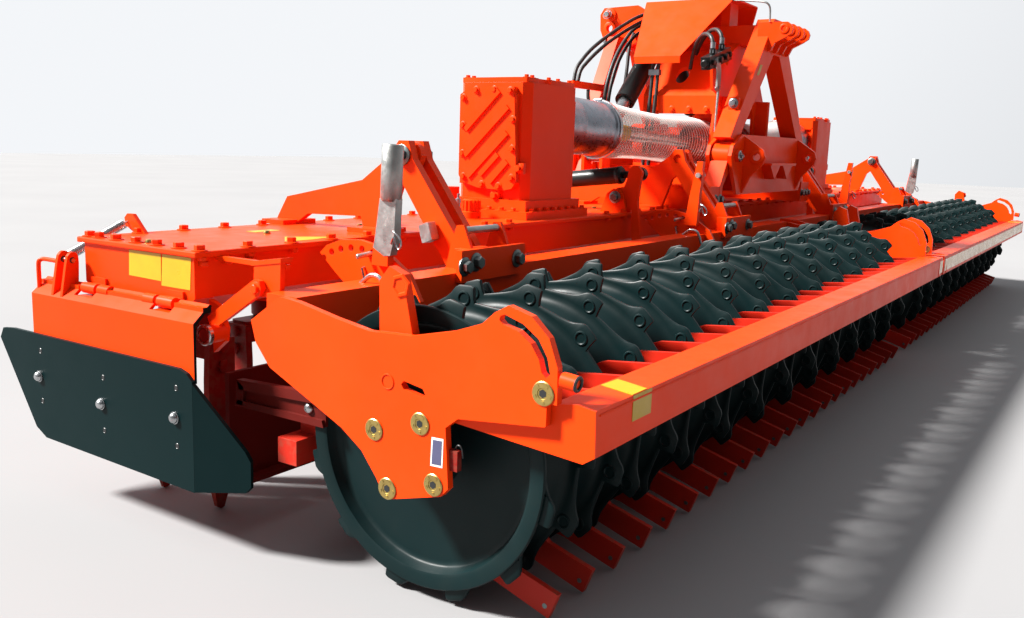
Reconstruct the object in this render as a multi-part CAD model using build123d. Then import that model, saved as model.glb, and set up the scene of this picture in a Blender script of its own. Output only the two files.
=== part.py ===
from build123d import *
import os
import math

# Folding power harrow, 6 m working width, two 3 m wings on a centre frame,
# each wing with 12 rotors and a toothed packer roller behind it.
# Millimetres.  +X is the machine's right, +Y is the direction of travel, +Z up.
# y values below are measured from the roller axis; everything is shifted by
# Y_CENTRE at the end so that the origin is the middle of the footprint.

# ---------------------------------------------------------------- driving sizes
REAR, FRONT = -376.0, 1330.0          # rearmost and foremost faces
Y_CENTRE = (REAR + FRONT) / 2
ROLL_R = 285.0                        # crest radius of the roller, its axis is this high
ZR = ROLL_R
TUBE_R = 128.0                        # roller core tube
RING_PITCH, RINGS = 125.0, 23        # rings of one roller, first ring 187.5 from the middle
SHELL = 6.0                           # wall of the hollow roller
RING_HALF = 51.0                      # half width of a ring
X_END = 3000.0                        # outer end of a wing's trough
X_IN = 50.0                           # inner end of a wing's trough
TROUGH_Y = (544.0, 913.0)
TROUGH_Z = (475.0, 585.0)
COVER_Y = (530.0, 930.0)
COVER_Z = (585.0, 597.0)
ROTOR_Y = 728.5
ROTOR_PITCH, ROTORS = 250.0, 12
TINE_R = 121.0                        # outermost radius of a rotor
GEAR_X, GEAR_Y, GEAR_Z = (1390.0, 1700.0), (590.0, 860.0), (597.0, 1020.0)
SHAFT_Z, SHAFT_Y = 905.0, 728.5         # drive shaft at the wing gearbox
MID_Z, MID_Y, MID_X = 855.0, 640.0, 130.0   # its other end, at the centre gearbox
FOLD_X, FOLD_Z = 450.0, 812.0         # fold pin of a wing
APEX_Y, APEX_Z = 488.0, ZR + 510.0    # pin that carries the roller frame
BRIDGE_X = (2384.0, 740.0)
LEVEL_Y, LEVEL_Z = 577.0, ZR + 367.0  # pin of the levelling board's lever
DEFL_X, DEFL_Z = 3022.0, ZR + 205.0   # hinge line of the side deflector


# ---------------------------------------------------------------- small helpers
def box(x0, x1, y0, y1, z0, z1):
    x0, x1 = min(x0, x1), max(x0, x1)
    return Pos((x0 + x1) / 2, (y0 + y1) / 2, (z0 + z1) / 2) * Box(x1 - x0, y1 - y0, z1 - z0)


def cyl_x(x0, x1, y, z, r):
    return Pos((x0 + x1) / 2, y, z) * Rot(0, 90, 0) * Cylinder(r, abs(x1 - x0))


def cyl_y(y0, y1, x, z, r):
    return Pos(x, (y0 + y1) / 2, z) * Rot(90, 0, 0) * Cylinder(r, abs(y1 - y0))


def cyl_z(z0, z1, x, y, r):
    return Pos(x, y, (z0 + z1) / 2) * Cylinder(r, abs(z1 - z0))


def plate_yz(points, x0, x1):
    """flat plate with an outline in (y, z), between two x values"""
    x0, x1 = min(x0, x1), max(x0, x1)
    face = make_face(Polyline(*[(x0, y, z) for y, z in points], close=True))
    return extrude(face, amount=x1 - x0, dir=(1, 0, 0))


def plate_xz(points, y0, y1):
    """flat plate with an outline in (x, z), between two y values"""
    face = make_face(Polyline(*[(x, y0, z) for x, z in points], close=True))
    return extrude(face, amount=y1 - y0, dir=(0, 1, 0))


def plate_xy(points, z0, z1):
    face = make_face(Polyline(*[(x, y, z0) for x, y in points], close=True))
    return extrude(face, amount=z1 - z0, dir=(0, 0, 1))


def rod(p, q, r):
    """round bar from p to q"""
    p, q = Vector(*p), Vector(*q)
    d = q - p
    pl = Plane(origin=p, z_dir=d)
    return extrude(pl * Circle(r), amount=d.length)


def rel(points):
    """outline given from the roller axis in metres -> (y, z) in millimetres"""
    return [(1000 * y, 1000 * z + ZR) for y, z in points]


PARTS = {}


def put(name, *shapes):
    PARTS[name] = [s for s in shapes]


# ================================================================ centre section
PLATE_Y = [(375.0, 390.0), (470.0, 485.0), (985.0, 1000.0), (1080.0, 1095.0)]   # y0, y1
ear = 60.0


def cross_plate(y0, y1, notch):
    top = 900.0
    pts = [(-FOLD_X - ear, FOLD_Z), (-FOLD_X - 42, FOLD_Z + 42), (-FOLD_X, FOLD_Z + ear), (-400, top)]
    if notch:
        pts += [(-190, top), (-150, 740), (150, 740), (190, top)]
    pts += [(400, top), (FOLD_X, FOLD_Z + ear), (FOLD_X + 42, FOLD_Z + 42), (FOLD_X + ear, FOLD_Z),
            (FOLD_X + 42, FOLD_Z - 42), (420, 655), (-420, 655), (-FOLD_X - 42, FOLD_Z - 42)]
    return plate_xz(pts, y0, y1)


frame = None
for i, (y0, y1) in enumerate(PLATE_Y):
    p = cross_plate(y0, y1, i >= 2)
    frame = p if frame is None else frame + p
for s in (-1, 1):
    frame += box(s * 300, s * 380, 485, 985, 655, 755)                  # side rails
    frame += plate_xz([(s * 300, 655), (s * 380, 655), (s * 380, 800), (s * 300, 800)], 390, 470)
    frame += plate_xz([(s * 210, 655), (s * 380, 655), (s * 380, 800), (s * 210, 780)], 1000, 1080)
    for y0, y1 in ((360.0, 500.0), (970.0, 1095.0)):                    # fold pins
        frame += cyl_y(y0, y1, s * FOLD_X, FOLD_Z, 24.5)
    # lower coupling ears for the machine behind: outline y, z
    frame += plate_yz(rel([(.375, .375), (.375, .608), (.335, .583), (.292, .553), (.282, .523),
                           (.292, .496), (.345, .44)]), s * 352, s * 372) \
        - cyl_x(s * 340, s * 380, 317, ZR + 525, 14.5)
frame += box(-300, 300, 540, 940, 655, 672)                             # gearbox seat
frame += box(-420, 420, 390, 470, 655, 670)
put("centre_frame", frame)

# three-point headstock: lower hitch plates, uprights, top link plates
head = None
HITCH_X, HITCH_Y, HITCH_Z = 482.5, 1280.0, 735.0
for s in (-1, 1):
    for x0, x1 in ((440.0, 456.0), (509.0, 525.0)):
        p = plate_yz([(1095, 665), (1300, 690), (1330, 720), (1330, 755), (1300, 785), (1180, 800), (1095, 870)],
                     s * x0, s * x1) - cyl_x(s * 430, s * 535, HITCH_Y, HITCH_Z, 18.6)
        head = p if head is None else head + p
    head += box(s * 440, s * 525, 1095, 1110, 665, 850)
    # uprights leaning in towards the top link
    head += plate_xz([(s * 330, 850), (s * 345, 800), (s * 450, 800), (s * 450, 850), (s * 420, 850), (s * 150, 1340),
                      (s * 60, 1340)], 1095, 1155)
    # top link plates: pin and spare hole
    head += plate_yz([(1095, 1290), (1160, 1290), (1215, 1340), (1232, 1380), (1235, 1450), (1215, 1480), (1040, 1485),
                      (960, 1440), (960, 1345), (1004, 1335)], s * 60, s * 80) \
        - cyl_x(s * 50, s * 90, 1180, 1386, 16.5)
head += cyl_x(-95, 95, 1183, 1446, 16.0)
head += box(-150, 150, 1095, 1155, 1290, 1340)
# ridge member under the roof, carries the fold cylinders' upper pins
head += box(-60, 60, 468, 860, 1290, 1377) + box(-60, 60, 860, 1000, 1335, 1377)
FC_Y, FC_X, FC_Z, FC_R = 932.0, 105.0, 1290.0, 45.0
for y0, y1 in ((FC_Y - 65, FC_Y - 52), (FC_Y + 52, FC_Y + 65)):
    head += plate_xz([(-150, 1290), (-140, 1258), (-110, 1246), (110, 1246), (140, 1258), (150, 1290), (122, 1345),
                      (-122, 1345)], y0, y1)
for s in (-1, 1):
    head += cyl_y(FC_Y - 65, FC_Y + 65, s * FC_X, FC_Z, 17.5)
# housing over the centre gearbox: folded sides with a ledge, rear plate down to the frame's rails
SHELL_X, SHELL_Y, SHELL_Z0, SHELL_Z1 = 300.0, (540.0, 878.0), 985.0, 1062.0
for s in (-1, 1):
    head += plate_xz([(s * SHELL_X, SHELL_Z0), (s * SHELL_X, SHELL_Z1), (s * 140, 1262), (s * 58, 1302), (s * 58, 1290),
                      (s * 134, 1251), (s * (SHELL_X - 11), SHELL_Z1 - 4), (s * (SHELL_X - 11), SHELL_Z0)], *SHELL_Y) \
        - cyl_z(1000, 1300, s * 225, 730, 30)
rear_wall = plate_xz([(-345, 755), (-300, 985), (-300, 1062), (-140, 1262), (-58, 1302), (58, 1302), (140, 1262),
                      (300, 1062), (300, 985), (345, 755)], 540, 552)
rear_wall -= plate_xz([(-200, 672), (-170, 990), (-60, 1180), (60, 1180), (170, 990), (200, 672)], 530, 560)
head += rear_wall
head += plate_xz([(-225, 1062), (-340, 1085), (-362, 1180), (-360, 1228), (-300, 1240), (-190, 1190)], 540, 552)
for s in (-1, 1):
    head += box(s * 205, s * 235, 485, 540, 755, 1062)
# arm that holds the hose ends beside the left upright
head += box(-575, -270, 1083, 1095, 1080, 1110) + box(-340, -270, 1095, 1100, 1080, 1110)
put("headstock", head)

# roof: folded sheet with sloping sides and a lip, cut to its outline seen from the side
t = 6.0
roof = plate_xz([(-360, 1225), (-150, 1485), (150, 1485), (360, 1225), (360, 1195), (354, 1195), (354, 1223),
                 (147, 1479), (-147, 1479), (-354, 1223), (-354, 1195), (-360, 1195)], 540, 970)
roof = roof & plate_yz([(900, 1190), (690, 1190), (690, 1222), (548, 1478), (548, 1500), (962, 1500), (962, 1478)],
                       -400, 400)
post = box(-50, 50, 600, 640, 1377, 1479) + box(-50, 50, 880, 920, 1377, 1479)
put("tower_roof", roof + post)

# rear coupling frame: two legs and the upper bracket
rear = None
for s in (-1, 1):
    leg = plate_xz([(s * 490, 886), (s * 405, 868), (0, 1290), (0, 1400), (s * 60, 1400)], 392, 468)
    rear = leg if rear is None else rear + leg
    for x0, x1 in ((32.0, 48.0), (112.0, 128.0)):
        rear += plate_yz(rel([(.440, .958), (.440, 1.094), (.312, 1.092), (.296, 1.080), (.288, 1.062), (.293, 1.044),
                              (.318, 1.028), (.362, 1.007), (.378, .975)]), s * x0, s * x1) \
            - cyl_x(s * 20, s * 140, 325, ZR + 1064, 12.8)
rear += box(-128, 128, 392, 440, 1250, 1379)
put("rear_coupling_frame", rear)

# centre gearbox with side necks, feet on the seat
gear = box(-100, 100, 560, 800, 700, 975) + box(-150, 150, 556, 830, 672, 700)
gear += box(-80, 80, 800, 850, 700, 930)
for s in (-1, 1):
    gear += cyl_x(s * 100, s * (MID_X - 0.5), MID_Y, MID_Z, 88)
gear += cyl_y(850, 905, 0, MID_Z, 80)
gear += (cyl_y(905, 1060, 0, MID_Z, 92) - cyl_y(905, 1070, 0, MID_Z, 86))
gear += (cyl_y(905, 915, 0, MID_Z, 90) - cyl_y(900, 920, 0, MID_Z, 30))
put("centre_gearbox", gear)
# input stub, 1 3/4 inch, turns freely
put("pto_shaft", cyl_y(907, 1060, 0, MID_Z, 22.2))

# fold valve on the housing's rear plate
valve = plate_xz([(-262, 1214), (-284, 1262), (-504, 1200), (-490, 1152)], 496, 536)
valve += box(-345, -300, 536, 540, 1170, 1230)
valve += cyl_z(1235, 1266, -345, 512, 13) + cyl_z(1205, 1240, -440, 512, 13)
put("hydraulic_valve", valve)


# hoses: runs joined by tangent arcs
def tube(points, r):
    radii = hose_radii(points)
    ls = FilletPolyline(*points, radius=radii)
    p0, p1 = Vector(*points[0]), Vector(*points[1])
    pl = Plane(origin=p0, z_dir=(p1 - p0))
    body = sweep(pl * Circle(r), path=ls)
    want = math.pi * r * r * ls.length
    print("hose radii from %.0f length %.0f volume ratio %.3f" % (min(radii), ls.length, body.volume / want))
    return body


def hose_radii(points):
    out = []
    for a, b, c in zip(points, points[1:], points[2:]):
        u, v = Vector(*b) - Vector(*a), Vector(*c) - Vector(*b)
        turn = math.radians(u.get_angle(v))
        out.append(min(900.0, 0.45 * min(u.length, v.length) / math.tan(turn / 2)))
    return out


HOSES = [  # points x, y, z of each hose from end to end, radius
    # long pair from the arm beside the left upright up under the roof
    ([(-560, 1089, 1111.5), (-547, 1088, 1165), (-482, 1066, 1240), (-400, 1040, 1300), (-310, 1005, 1360), (-222, 976, 1410),
      (-140, 942, 1441), (-57, 896, 1452)], 8),
    ([(-525, 1089, 1111.5), (-512, 1086, 1160), (-450, 1062, 1224), (-374, 1037, 1283), (-288, 1002, 1340), (-205, 966, 1389),
      (-130, 936, 1420), (-57, 912, 1430)], 8),
    # steeper pair behind it, from the frame's front box
    ([(-330, 1040, 798), (-334, 1040, 880), (-350, 1032, 980), (-358, 1020, 1080), (-322, 1016, 1180), (-252, 1012, 1268),
      (-176, 1000, 1338), (-112, 962, 1378), (-57, 913, 1388)], 8),
    ([(-356, 1042, 801), (-360, 1042, 885), (-377, 1036, 985), (-385, 1026, 1090), (-345, 1020, 1196), (-270, 1016, 1288),
      (-190, 1004, 1364), (-122, 964, 1402), (-57, 913, 1409)], 8),
    # loose loop from the arm to the top link plate
    ([(-430, 1089, 1079), (-430, 1088, 1045), (-418, 1082, 1008), (-388, 1070, 978), (-345, 1058, 965), (-298, 1048, 970),
      (-255, 1041, 992), (-220, 1037, 1030), (-193, 1036, 1080), (-170, 1038, 1140), (-152, 1042, 1210), (-138, 1046, 1275),
      (-118, 1048, 1325), (-86.5, 1050, 1358)], 8),
    # pair hanging from the roof down to the side rail, past the housing
    ([(-308, 838, 1260), (-308, 838, 1172), (-312, 839, 1085), (-320, 841, 1000), (-328, 844, 920), (-334, 846, 840),
      (-336, 847, 757)], 8),
    ([(-308, 812, 1260), (-308, 812, 1172), (-312, 813, 1085), (-320, 815, 1000), (-328, 818, 920), (-334, 820, 840),
      (-336, 821, 757)], 8),
    # from the valve under the roof, ending on the housing
    ([(-345, 512, 1267), (-345, 513, 1292), (-338, 524, 1314), (-318, 548, 1332), (-284, 584, 1336), (-244, 624, 1324),
      (-208, 661, 1294), (-180, 688, 1262), (-169, 698, 1247)], 8),
    ([(-440, 512, 1241), (-440, 513, 1264), (-432, 524, 1288), (-410, 550, 1304), (-372, 588, 1308), (-328, 626, 1292),
      (-288, 657, 1258), (-255, 680, 1214), (-237, 692, 1180)], 8),
]
put("hoses", *[tube(p, r) for p, r in HOSES])


# ================================================================ wings
def wing(side, s):
    X = lambda v: s * v
    # trough with a bearing boss under each rotor
    tr = plate_yz([(TROUGH_Y[0], TROUGH_Z[1]), (TROUGH_Y[0], 500), (575, TROUGH_Z[0]), (882, TROUGH_Z[0]),
                   (TROUGH_Y[1], 500), (TROUGH_Y[1], TROUGH_Z[1])], X(X_IN), X(X_END))
    for i in range(ROTORS):
        tr += cyl_z(440, TROUGH_Z[0], X(125 + ROTOR_PITCH * i), ROTOR_Y, 62)
    # hinge brackets of the side deflector on the end plate
    for y in (600.0, 860.0):
        tr += box(X(X_END), X(X_END + 6), y - 26, y + 26, DEFL_Z - 22, DEFL_Z + 22)
        tr += cyl_y(y - 24, y + 24, X(DEFL_X), DEFL_Z, 12) + box(X(X_END), X(DEFL_X), y - 24, y + 24,
                                                                 DEFL_Z - 9, DEFL_Z + 9)
    put("wing_trough_" + side, tr)
    # cover plate
    put("wing_cover_" + side, box(X(X_IN - 8), X(X_END + 8), COVER_Y[0], COVER_Y[1], *COVER_Z)
        + box(X(2180), X(2240), 700, 740, COVER_Z[1], COVER_Z[1] + 30))
    # wing gearbox
    g = box(X(GEAR_X[0]), X(GEAR_X[1]), GEAR_Y[0], GEAR_Y[1], 655, GEAR_Z[1])
    g = chamfer(g.edges().filter_by(Axis.Z), 24)
    g += plate_xy([(X(1350), 560), (X(1740), 560), (X(1740), 890), (X(1350), 890)], 597, 622)
    g += plate_xy([(X(1375), 580), (X(1715), 580), (X(1715), 872), (X(1375), 872)], 622, 655)
    g += box(X(GEAR_X[1]), X(GEAR_X[1] + 18), 625, 835, 700, 985)
    g += cyl_x(X(1250), X(GEAR_X[0]), SHAFT_Y, SHAFT_Z, 98)
    g += cyl_z(622, 690, X(1775), 830, 30) + box(X(1735), X(1790), 800, 860, 597, 622)
    put("wing_gearbox_" + side, g)
    # brackets on the cover: two bridges that carry the roller frame, hinge beam, cylinder lug
    br = []
    for bx in BRIDGE_X:
        b = plate_yz(rel([(.470, .530), (.452, .510), (.470, .470), (.520, .430), (.560, .320), (.640, .320),
                          (.650, .349), (.840, .343), (.880, .318), (.958, .318), (.953, .330), (.917, .385),
                          (.645, .442), (.588, .482), (.510, .535)]), X(bx - 10), X(bx + 10))
        b += box(X(bx - 60), X(bx + 60), 556, 650, 597, 609)
        b += box(X(bx - 60), X(bx + 60), 880, 962, 597, 609)
        b += cyl_x(X(bx - 32), X(bx + 32), APEX_Y, APEX_Z, 15.5)
        b += cyl_x(X(bx - 10), X(bx + 10), APEX_Y, APEX_Z, 34)
        br.append(b)
    hb = box(X(530), X(660), 396, 1074, 597, 690)
    for y0, y1 in ((395.0, 465.0), (1005.0, 1075.0)):
        hb += plate_xz([(X(FOLD_X), FOLD_Z - 46), (X(FOLD_X + 46), FOLD_Z - 20), (X(560), 690), (X(560), 640),
                        (X(530), 640), (X(530), 690)], y0, y1)
        hb += cyl_y(y0, y1, X(FOLD_X), FOLD_Z, 48)
        hb -= cyl_y(y0 - 5, y1 + 5, X(FOLD_X), FOLD_Z, 26)
    for y0, y1 in ((FC_Y - 50, FC_Y - 36), (FC_Y + 36, FC_Y + 50)):
        hb += plate_xz([(X(590), 690), (X(655), 690), (X(655), 800), (X(635), 835), (X(605), 835), (X(585), 800)], y0, y1)
        hb -= cyl_y(y0 - 5, y1 + 5, X(620), 802, 16)
    br.append(hb)
    # pivot lugs of the levelling levers, on the rear edge of the cover
    for lx in (1080.0,):
        for o in (-26.0, 14.0):
            br.append(plate_yz([(535, 597), (640, 597), (615, 665), (590, 682), (562, 676), (548, 650)],
                               X(lx + o), X(lx + o + 12)))
        br[-1] = br[-1] + br[-2] + cyl_x(X(lx - 34), X(lx + 34), LEVEL_Y, LEVEL_Z, 11.5)
        br.pop(-2)
    put("wing_brackets_" + side, *br)
    # levelling cylinder (barrel and rod), from a lug on the cover to the lever's eye
    y_e, z_e, lx = 514.0, ZR + 453.0, 1046.0
    lc = plate_yz([(800, 597), (900, 597), (880, 715), (860, 730), (840, 715)], X(lx - 14), X(lx + 14))
    lc += rod((X(lx), 850, 700), (X(lx), 605, 729), 31)
    lc += rod((X(lx), 610, 728.4), (X(lx), 534, 737.4), 13)
    lc += cyl_x(X(lx - 12), X(lx + 12), y_e, z_e, 25) - cyl_x(X(lx - 14), X(lx + 14), y_e, z_e, 16)
    put("levelling_cylinder_" + side, lc)
    # drive shaft inside its guard, from the wing gearbox to the centre gearbox
    a0, a1 = (X(MID_X), MID_Y, MID_Z), (X(1249.5), SHAFT_Y, SHAFT_Z)
    e0 = tuple(p - 0.02 * (q - p) for p, q in zip(a0, a1))
    e1 = tuple(q + 0.02 * (q - p) for p, q in zip(a0, a1))
    guard = (rod(e0, e1, 86) - rod(e0, e1, 82)) & box(X(MID_X + 8), X(1241), 500, 900, 700, 1050)
    put("drive_shaft_" + side, guard, rod(e0, e1, 36) & box(X(MID_X), X(1249.5), 500, 900, 700, 1050))

    # levelling board behind the rotors, on levers
    lb = box(X(95), X(2955), 500, 512, 105, 345) + box(X(95), X(2955), 470, 500, 105, 115)
    for lx in (1080.0,):
        lb += plate_yz([(504, 768), (486, 745), (492, 715), (500, 640), (478, 480), (494, 330), (512, 330), (512, 470),
                        (519, 560), (519, 607), (560, 618), (600, 628), (604, 662), (585, 685), (556, 690), (546, 715),
                        (540, 752), (524, 768)],
                       X(lx - 8), X(lx + 8)) - cyl_x(X(lx - 12), X(lx + 12), LEVEL_Y, LEVEL_Z, 12.5)
    lb += cyl_x(X(1032), X(1074), 514, ZR + 453, 9)
    put("levelling_board_" + side, lb)

    # rotors
    for i in range(ROTORS):
        rx = X(125 + ROTOR_PITCH * i)
        r = cyl_z(395, 438, rx, ROTOR_Y, 46) + Pos(rx, ROTOR_Y, 370) * Rot(0, 0, 90 * (i % 2)) * Box(210, 62, 50)
        for q in (-1, 1):
            blade = plate_yz([(-34, 392), (34, 392), (34, 300), (18, 30), (2, 0), (-14, 0), (-30, 60), (-34, 300)],
                             96 * q, 114 * q)
            if q < 0:
                blade = Rot(0, 0, 0) * plate_yz([(34, 392), (-34, 392), (-34, 300), (-18, 30), (-2, 0), (14, 0),
                                                 (30, 60), (34, 300)], -114, -96)
            r += Pos(rx, ROTOR_Y, 0) * Rot(0, 0, 90 * (i % 2)) * blade
        put("rotor_%s_%02d" % (side, i + 1), r)

    # roller frame: beam, two arms up to the apex pins, side plates with bearing housings
    f = box(X(76), X(2994), 262, 342, ZR + 170, ZR + 250)
    for bx in BRIDGE_X:
        for o in (-40.0, 16.0):
            f += plate_yz(rel([(.470, .545), (.455, .500), (.265, .250), (.345, .250), (.385, .300), (.515, .480),
                               (.520, .520), (.500, .545)]), X(bx + o), X(bx + o + 24)) \
                - cyl_x(X(bx + o - 5), X(bx + o + 30), APEX_Y, APEX_Z, 16.8)
        f += box(X(bx - 150), X(bx + 116), 246, 262, ZR + 228, ZR + 302)
        f += box(X(bx - 30), X(bx + 72), 262, 300, ZR + 240, ZR + 300)
    OUT = rel([(.291, .250), (.370, .196), (.357, .154), (.320, .111), (.197, .056), (.135, .028), (.086, -.005),
               (.051, -.048), (.039, -.068), (.022, -.082), (-.093, -.050), (-.109, -.033), (-.101, .073),
               (-.126, .093), (-.293, .111), (-.315, .127), (-.313, .209), (-.296, .253), (-.263, .283),
               (-.219, .295), (-.194, .281), (-.170, .260), (-.111, .239), (-.023, .219), (.071, .215),
               (.153, .228), (.246, .246)])
    # curved slot for the scraper's adjustment and the long hole by the stay, outline from the roller axis
    SLOTS = [[(-.205, .277), (-.213, .280), (-.248, .269), (-.277, .249), (-.294, .222), (-.300, .197), (-.293, .190),
              (-.285, .197), (-.279, .217), (-.263, .240), (-.240, .256), (-.210, .264), (-.203, .270)],
             [(-.010, .139), (-.004, .132), (-.010, .124), (-.050, .116), (-.057, .123), (-.051, .132)]]
    LUG = rel([(.058, .200), (.060, .304), (.038, .331), (.008, .319), (-.019, .200)])
    for x0, x1, l0, l1, h0, h1 in ((2994.0, 3009.0, 2974.0, 2994.0, 2962.0, 2994.0),
                                   (61.0, 76.0, 76.0, 96.0, 76.0, 108.0)):
        side_plate = plate_yz(OUT, X(x0), X(x1)) - box(X(x0 - 1), X(x1 + 1), -420, -296, ZR + 70, ZR + 150)
        for slot in SLOTS:
            side_plate -= plate_yz(rel(slot), X(x0 - 1), X(x1 + 1))
        f += side_plate
        f += plate_yz(LUG, X(l0), X(l1))
        f += cyl_x(X(h0), X(h1), 0, ZR, 72) - cyl_x(X(h0 - 1), X(h1 + 1), 0, ZR, 33)
    # arc plate with its row of holes and the adjusting lever
    for qx in (2680.0, 1010.0):
        arc = plate_yz(rel([(.345, .20), (.414, .216), (.460, .250), (.506, .290), (.486, .308), (.442, .324), (.387, .328),
                            (.334, .319), (.300, .300), (.247, .266), (.215, .210)]), X(qx - 6), X(qx + 6))
        for hy, hz in ((.494, .279), (.470, .2945), (.442, .3035), (.412, .3085), (.380, .3085), (.350, .303)):
            arc -= cyl_x(X(qx - 7), X(qx + 7), 1000 * hy, ZR + 1000 * hz, 7.5)
        f += arc
        f += plate_yz(rel([(.335, .28), (.318, .40), (.300, .506), (.278, .506), (.286, .40), (.290, .28)]),
                      X(qx + 6), X(qx + 26))
    put("roller_frame_" + side, f)

    # scraper beam with an end arm and a scraper in each gap
    sb = box(X(20), X(2992), -374, -298, ZR + 72, ZR + 148)
    sb += plate_yz(rel([(-.105, .080), (-.355, .060), (-.376, .074), (-.374, .147), (-.341, .153), (-.105, .118)]),
                   X(2978), X(2993))
    sb += plate_yz(rel([(-.105, .080), (-.355, .060), (-.376, .074), (-.374, .147), (-.341, .153), (-.105, .118)]),
                   X(77), X(92))
    for k in range(1, RINGS + 1):
        sb += plate_yz(rel([(-.300, .140), (-.300, .085), (-.150, .045), (-.138, .060)]),
                       X(RING_PITCH * k - 6), X(RING_PITCH * k + 6))
    put("scraper_beam_" + side, sb)

    # knife bar in front of the roller, its knives pass under the core tube
    kb = box(X(110), X(2960), 300, 352, ZR - 96, ZR - 44)
    for hx in (150.0, 1500.0, 2900.0):
        kb += box(X(hx - 8), X(hx + 8), 300, 342, ZR - 60, ZR + 170)
    for k in range(1, RINGS + 1):
        kb += plate_yz(rel([(.302, -.050), (.120, -.142), (-.120, -.152), (-.160, -.202), (-.259, -.231), (-.240, -.280),
                            (-.124, -.242), (.100, -.212), (.302, -.094)]),
                       X(RING_PITCH * k - 6), X(RING_PITCH * k + 6))
    put("knives_" + side, kb)

    # roller: core tube with toothed rings, end discs and journals
    def roller_profile(t):
        """half section x, radius; t shrinks it by the wall"""
        x_in, x_out = 187.5 - RING_HALF, 2949.0
        pts = []
        for i in range(RINGS):
            xc = 187.5 + RING_PITCH * i
            a, b = xc - RING_HALF + t, xc + RING_HALF - t
            if i < RINGS - 1:
                pts += [(a, TUBE_R - t), (a, 226.0 - t), (xc, ROLL_R - 1.2 * t), (b, 226.0 - t), (b, TUBE_R - t)]
            else:
                pts += [(a, TUBE_R - t), (a, 226.0 - t), (2925.0 - t, ROLL_R - 1.2 * t), (x_out - t, 262.0 - t)]
        if t:
            return [(x_in + t, 0.0)] + pts[1:] + [(x_out - t, 0.0)]
        return [(80.0, 0.0), (80.0, 30.0), (x_in, 30.0)] + pts[1:] + [(x_out, 30.0), (2992.0, 30.0), (2992.0, 0.0)]

    def turned(t):
        face = make_face(Polyline(*[(x * s, 0, r) for x, r in roller_profile(t)], close=True))
        return revolve(face, axis=Axis.X, revolution_arc=360)

    put("roller_" + side, Pos(0, 0, ZR) * (turned(0.0) - turned(SHELL)))

    # side deflector: hinged hood panel with the dark plate bolted on
    d = plate_xz([(X(DEFL_X - 13), DEFL_Z + 5), (X(DEFL_X - 6), DEFL_Z + 9), (X(3056), ZR + 180), (X(3056), ZR + 60),
                  (X(3050), ZR + 60), (X(3050), ZR + 174), (X(DEFL_X - 6), DEFL_Z + 1)], 480, 1036)
    d += box(X(DEFL_X - 10), X(DEFL_X + 10), 480, 1036, DEFL_Z - 8, DEFL_Z + 4)
    for y in (600.0, 860.0):
        d -= box(X(3000), X(3044), y - 32, y + 32, DEFL_Z - 40, DEFL_Z + 40)
    for y0, y1 in ((634.0, 670.0), (790.0, 826.0)):
        d += cyl_y(y0, y1, X(DEFL_X), DEFL_Z, 12)
    d += plate_yz(rel([(1.162, .062), (1.148, .086), (1.108, .090), (.519, .087), (.495, .080), (.478, .066),
                       (.478, -.161), (.492, -.161), (.993, -.149), (1.030, -.130)]), X(3056), X(3064))
    tail = plate_xy([(X(3064), 479), (X(3056), 481), (X(3024), 352), (X(3032), 350)], ZR - 161, ZR + 66)
    tail &= plate_yz(rel([(.482, .066), (.362, -.060), (.350, -.080), (.350, -.130), (.362, -.143), (.482, -.161)]),
                     X(3000), X(3070))
    d += tail
    put("side_deflector_" + side, d)

    # fold cylinder: barrel from the headstock, rod to the wing's lug
    bx, bz, ex, ez = FC_X, FC_Z, 620.0, 802.0
    L = math.hypot(ex - bx, ez - bz)
    ux, uz = (ex - bx) / L, (ez - bz) / L
    P = lambda d: (X(bx + ux * d), FC_Y, bz + uz * d)
    barrel = rod(P(50), P(375), FC_R) + rod(P(24), P(60), 28) - rod(P(92), P(380), 31)
    barrel += cyl_y(FC_Y - 42, FC_Y + 42, X(bx), bz, 36)
    barrel -= cyl_y(FC_Y - 60, FC_Y + 60, X(bx), bz, 18.5)
    put("fold_cylinder_" + side, barrel)
    rd = rod(P(345), P(L - 24), 28)
    rd += cyl_y(FC_Y - 28, FC_Y + 28, X(ex), ez, 34)
    rd -= cyl_y(FC_Y - 40, FC_Y + 40, X(ex), ez, 17)
    put("fold_rod_" + side, rd)


wing("left", -1)
wing("right", 1)

# ================================================================ write
os.makedirs("parts", exist_ok=True)
for name, shapes in PARTS.items():
    solids = []
    for sh in shapes:
        solids += list(sh.solids())
    out = Compound(children=[Pos(0, -Y_CENTRE, 0) * s for s in solids]) if len(solids) > 1 \
        else Pos(0, -Y_CENTRE, 0) * solids[0]
    out.label = name
    export_step(out, "parts/" + name + ".step")
print(len(PARTS), "nodes")
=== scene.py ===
import bpy
import bmesh
import math
from mathutils import Vector, Matrix


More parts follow.
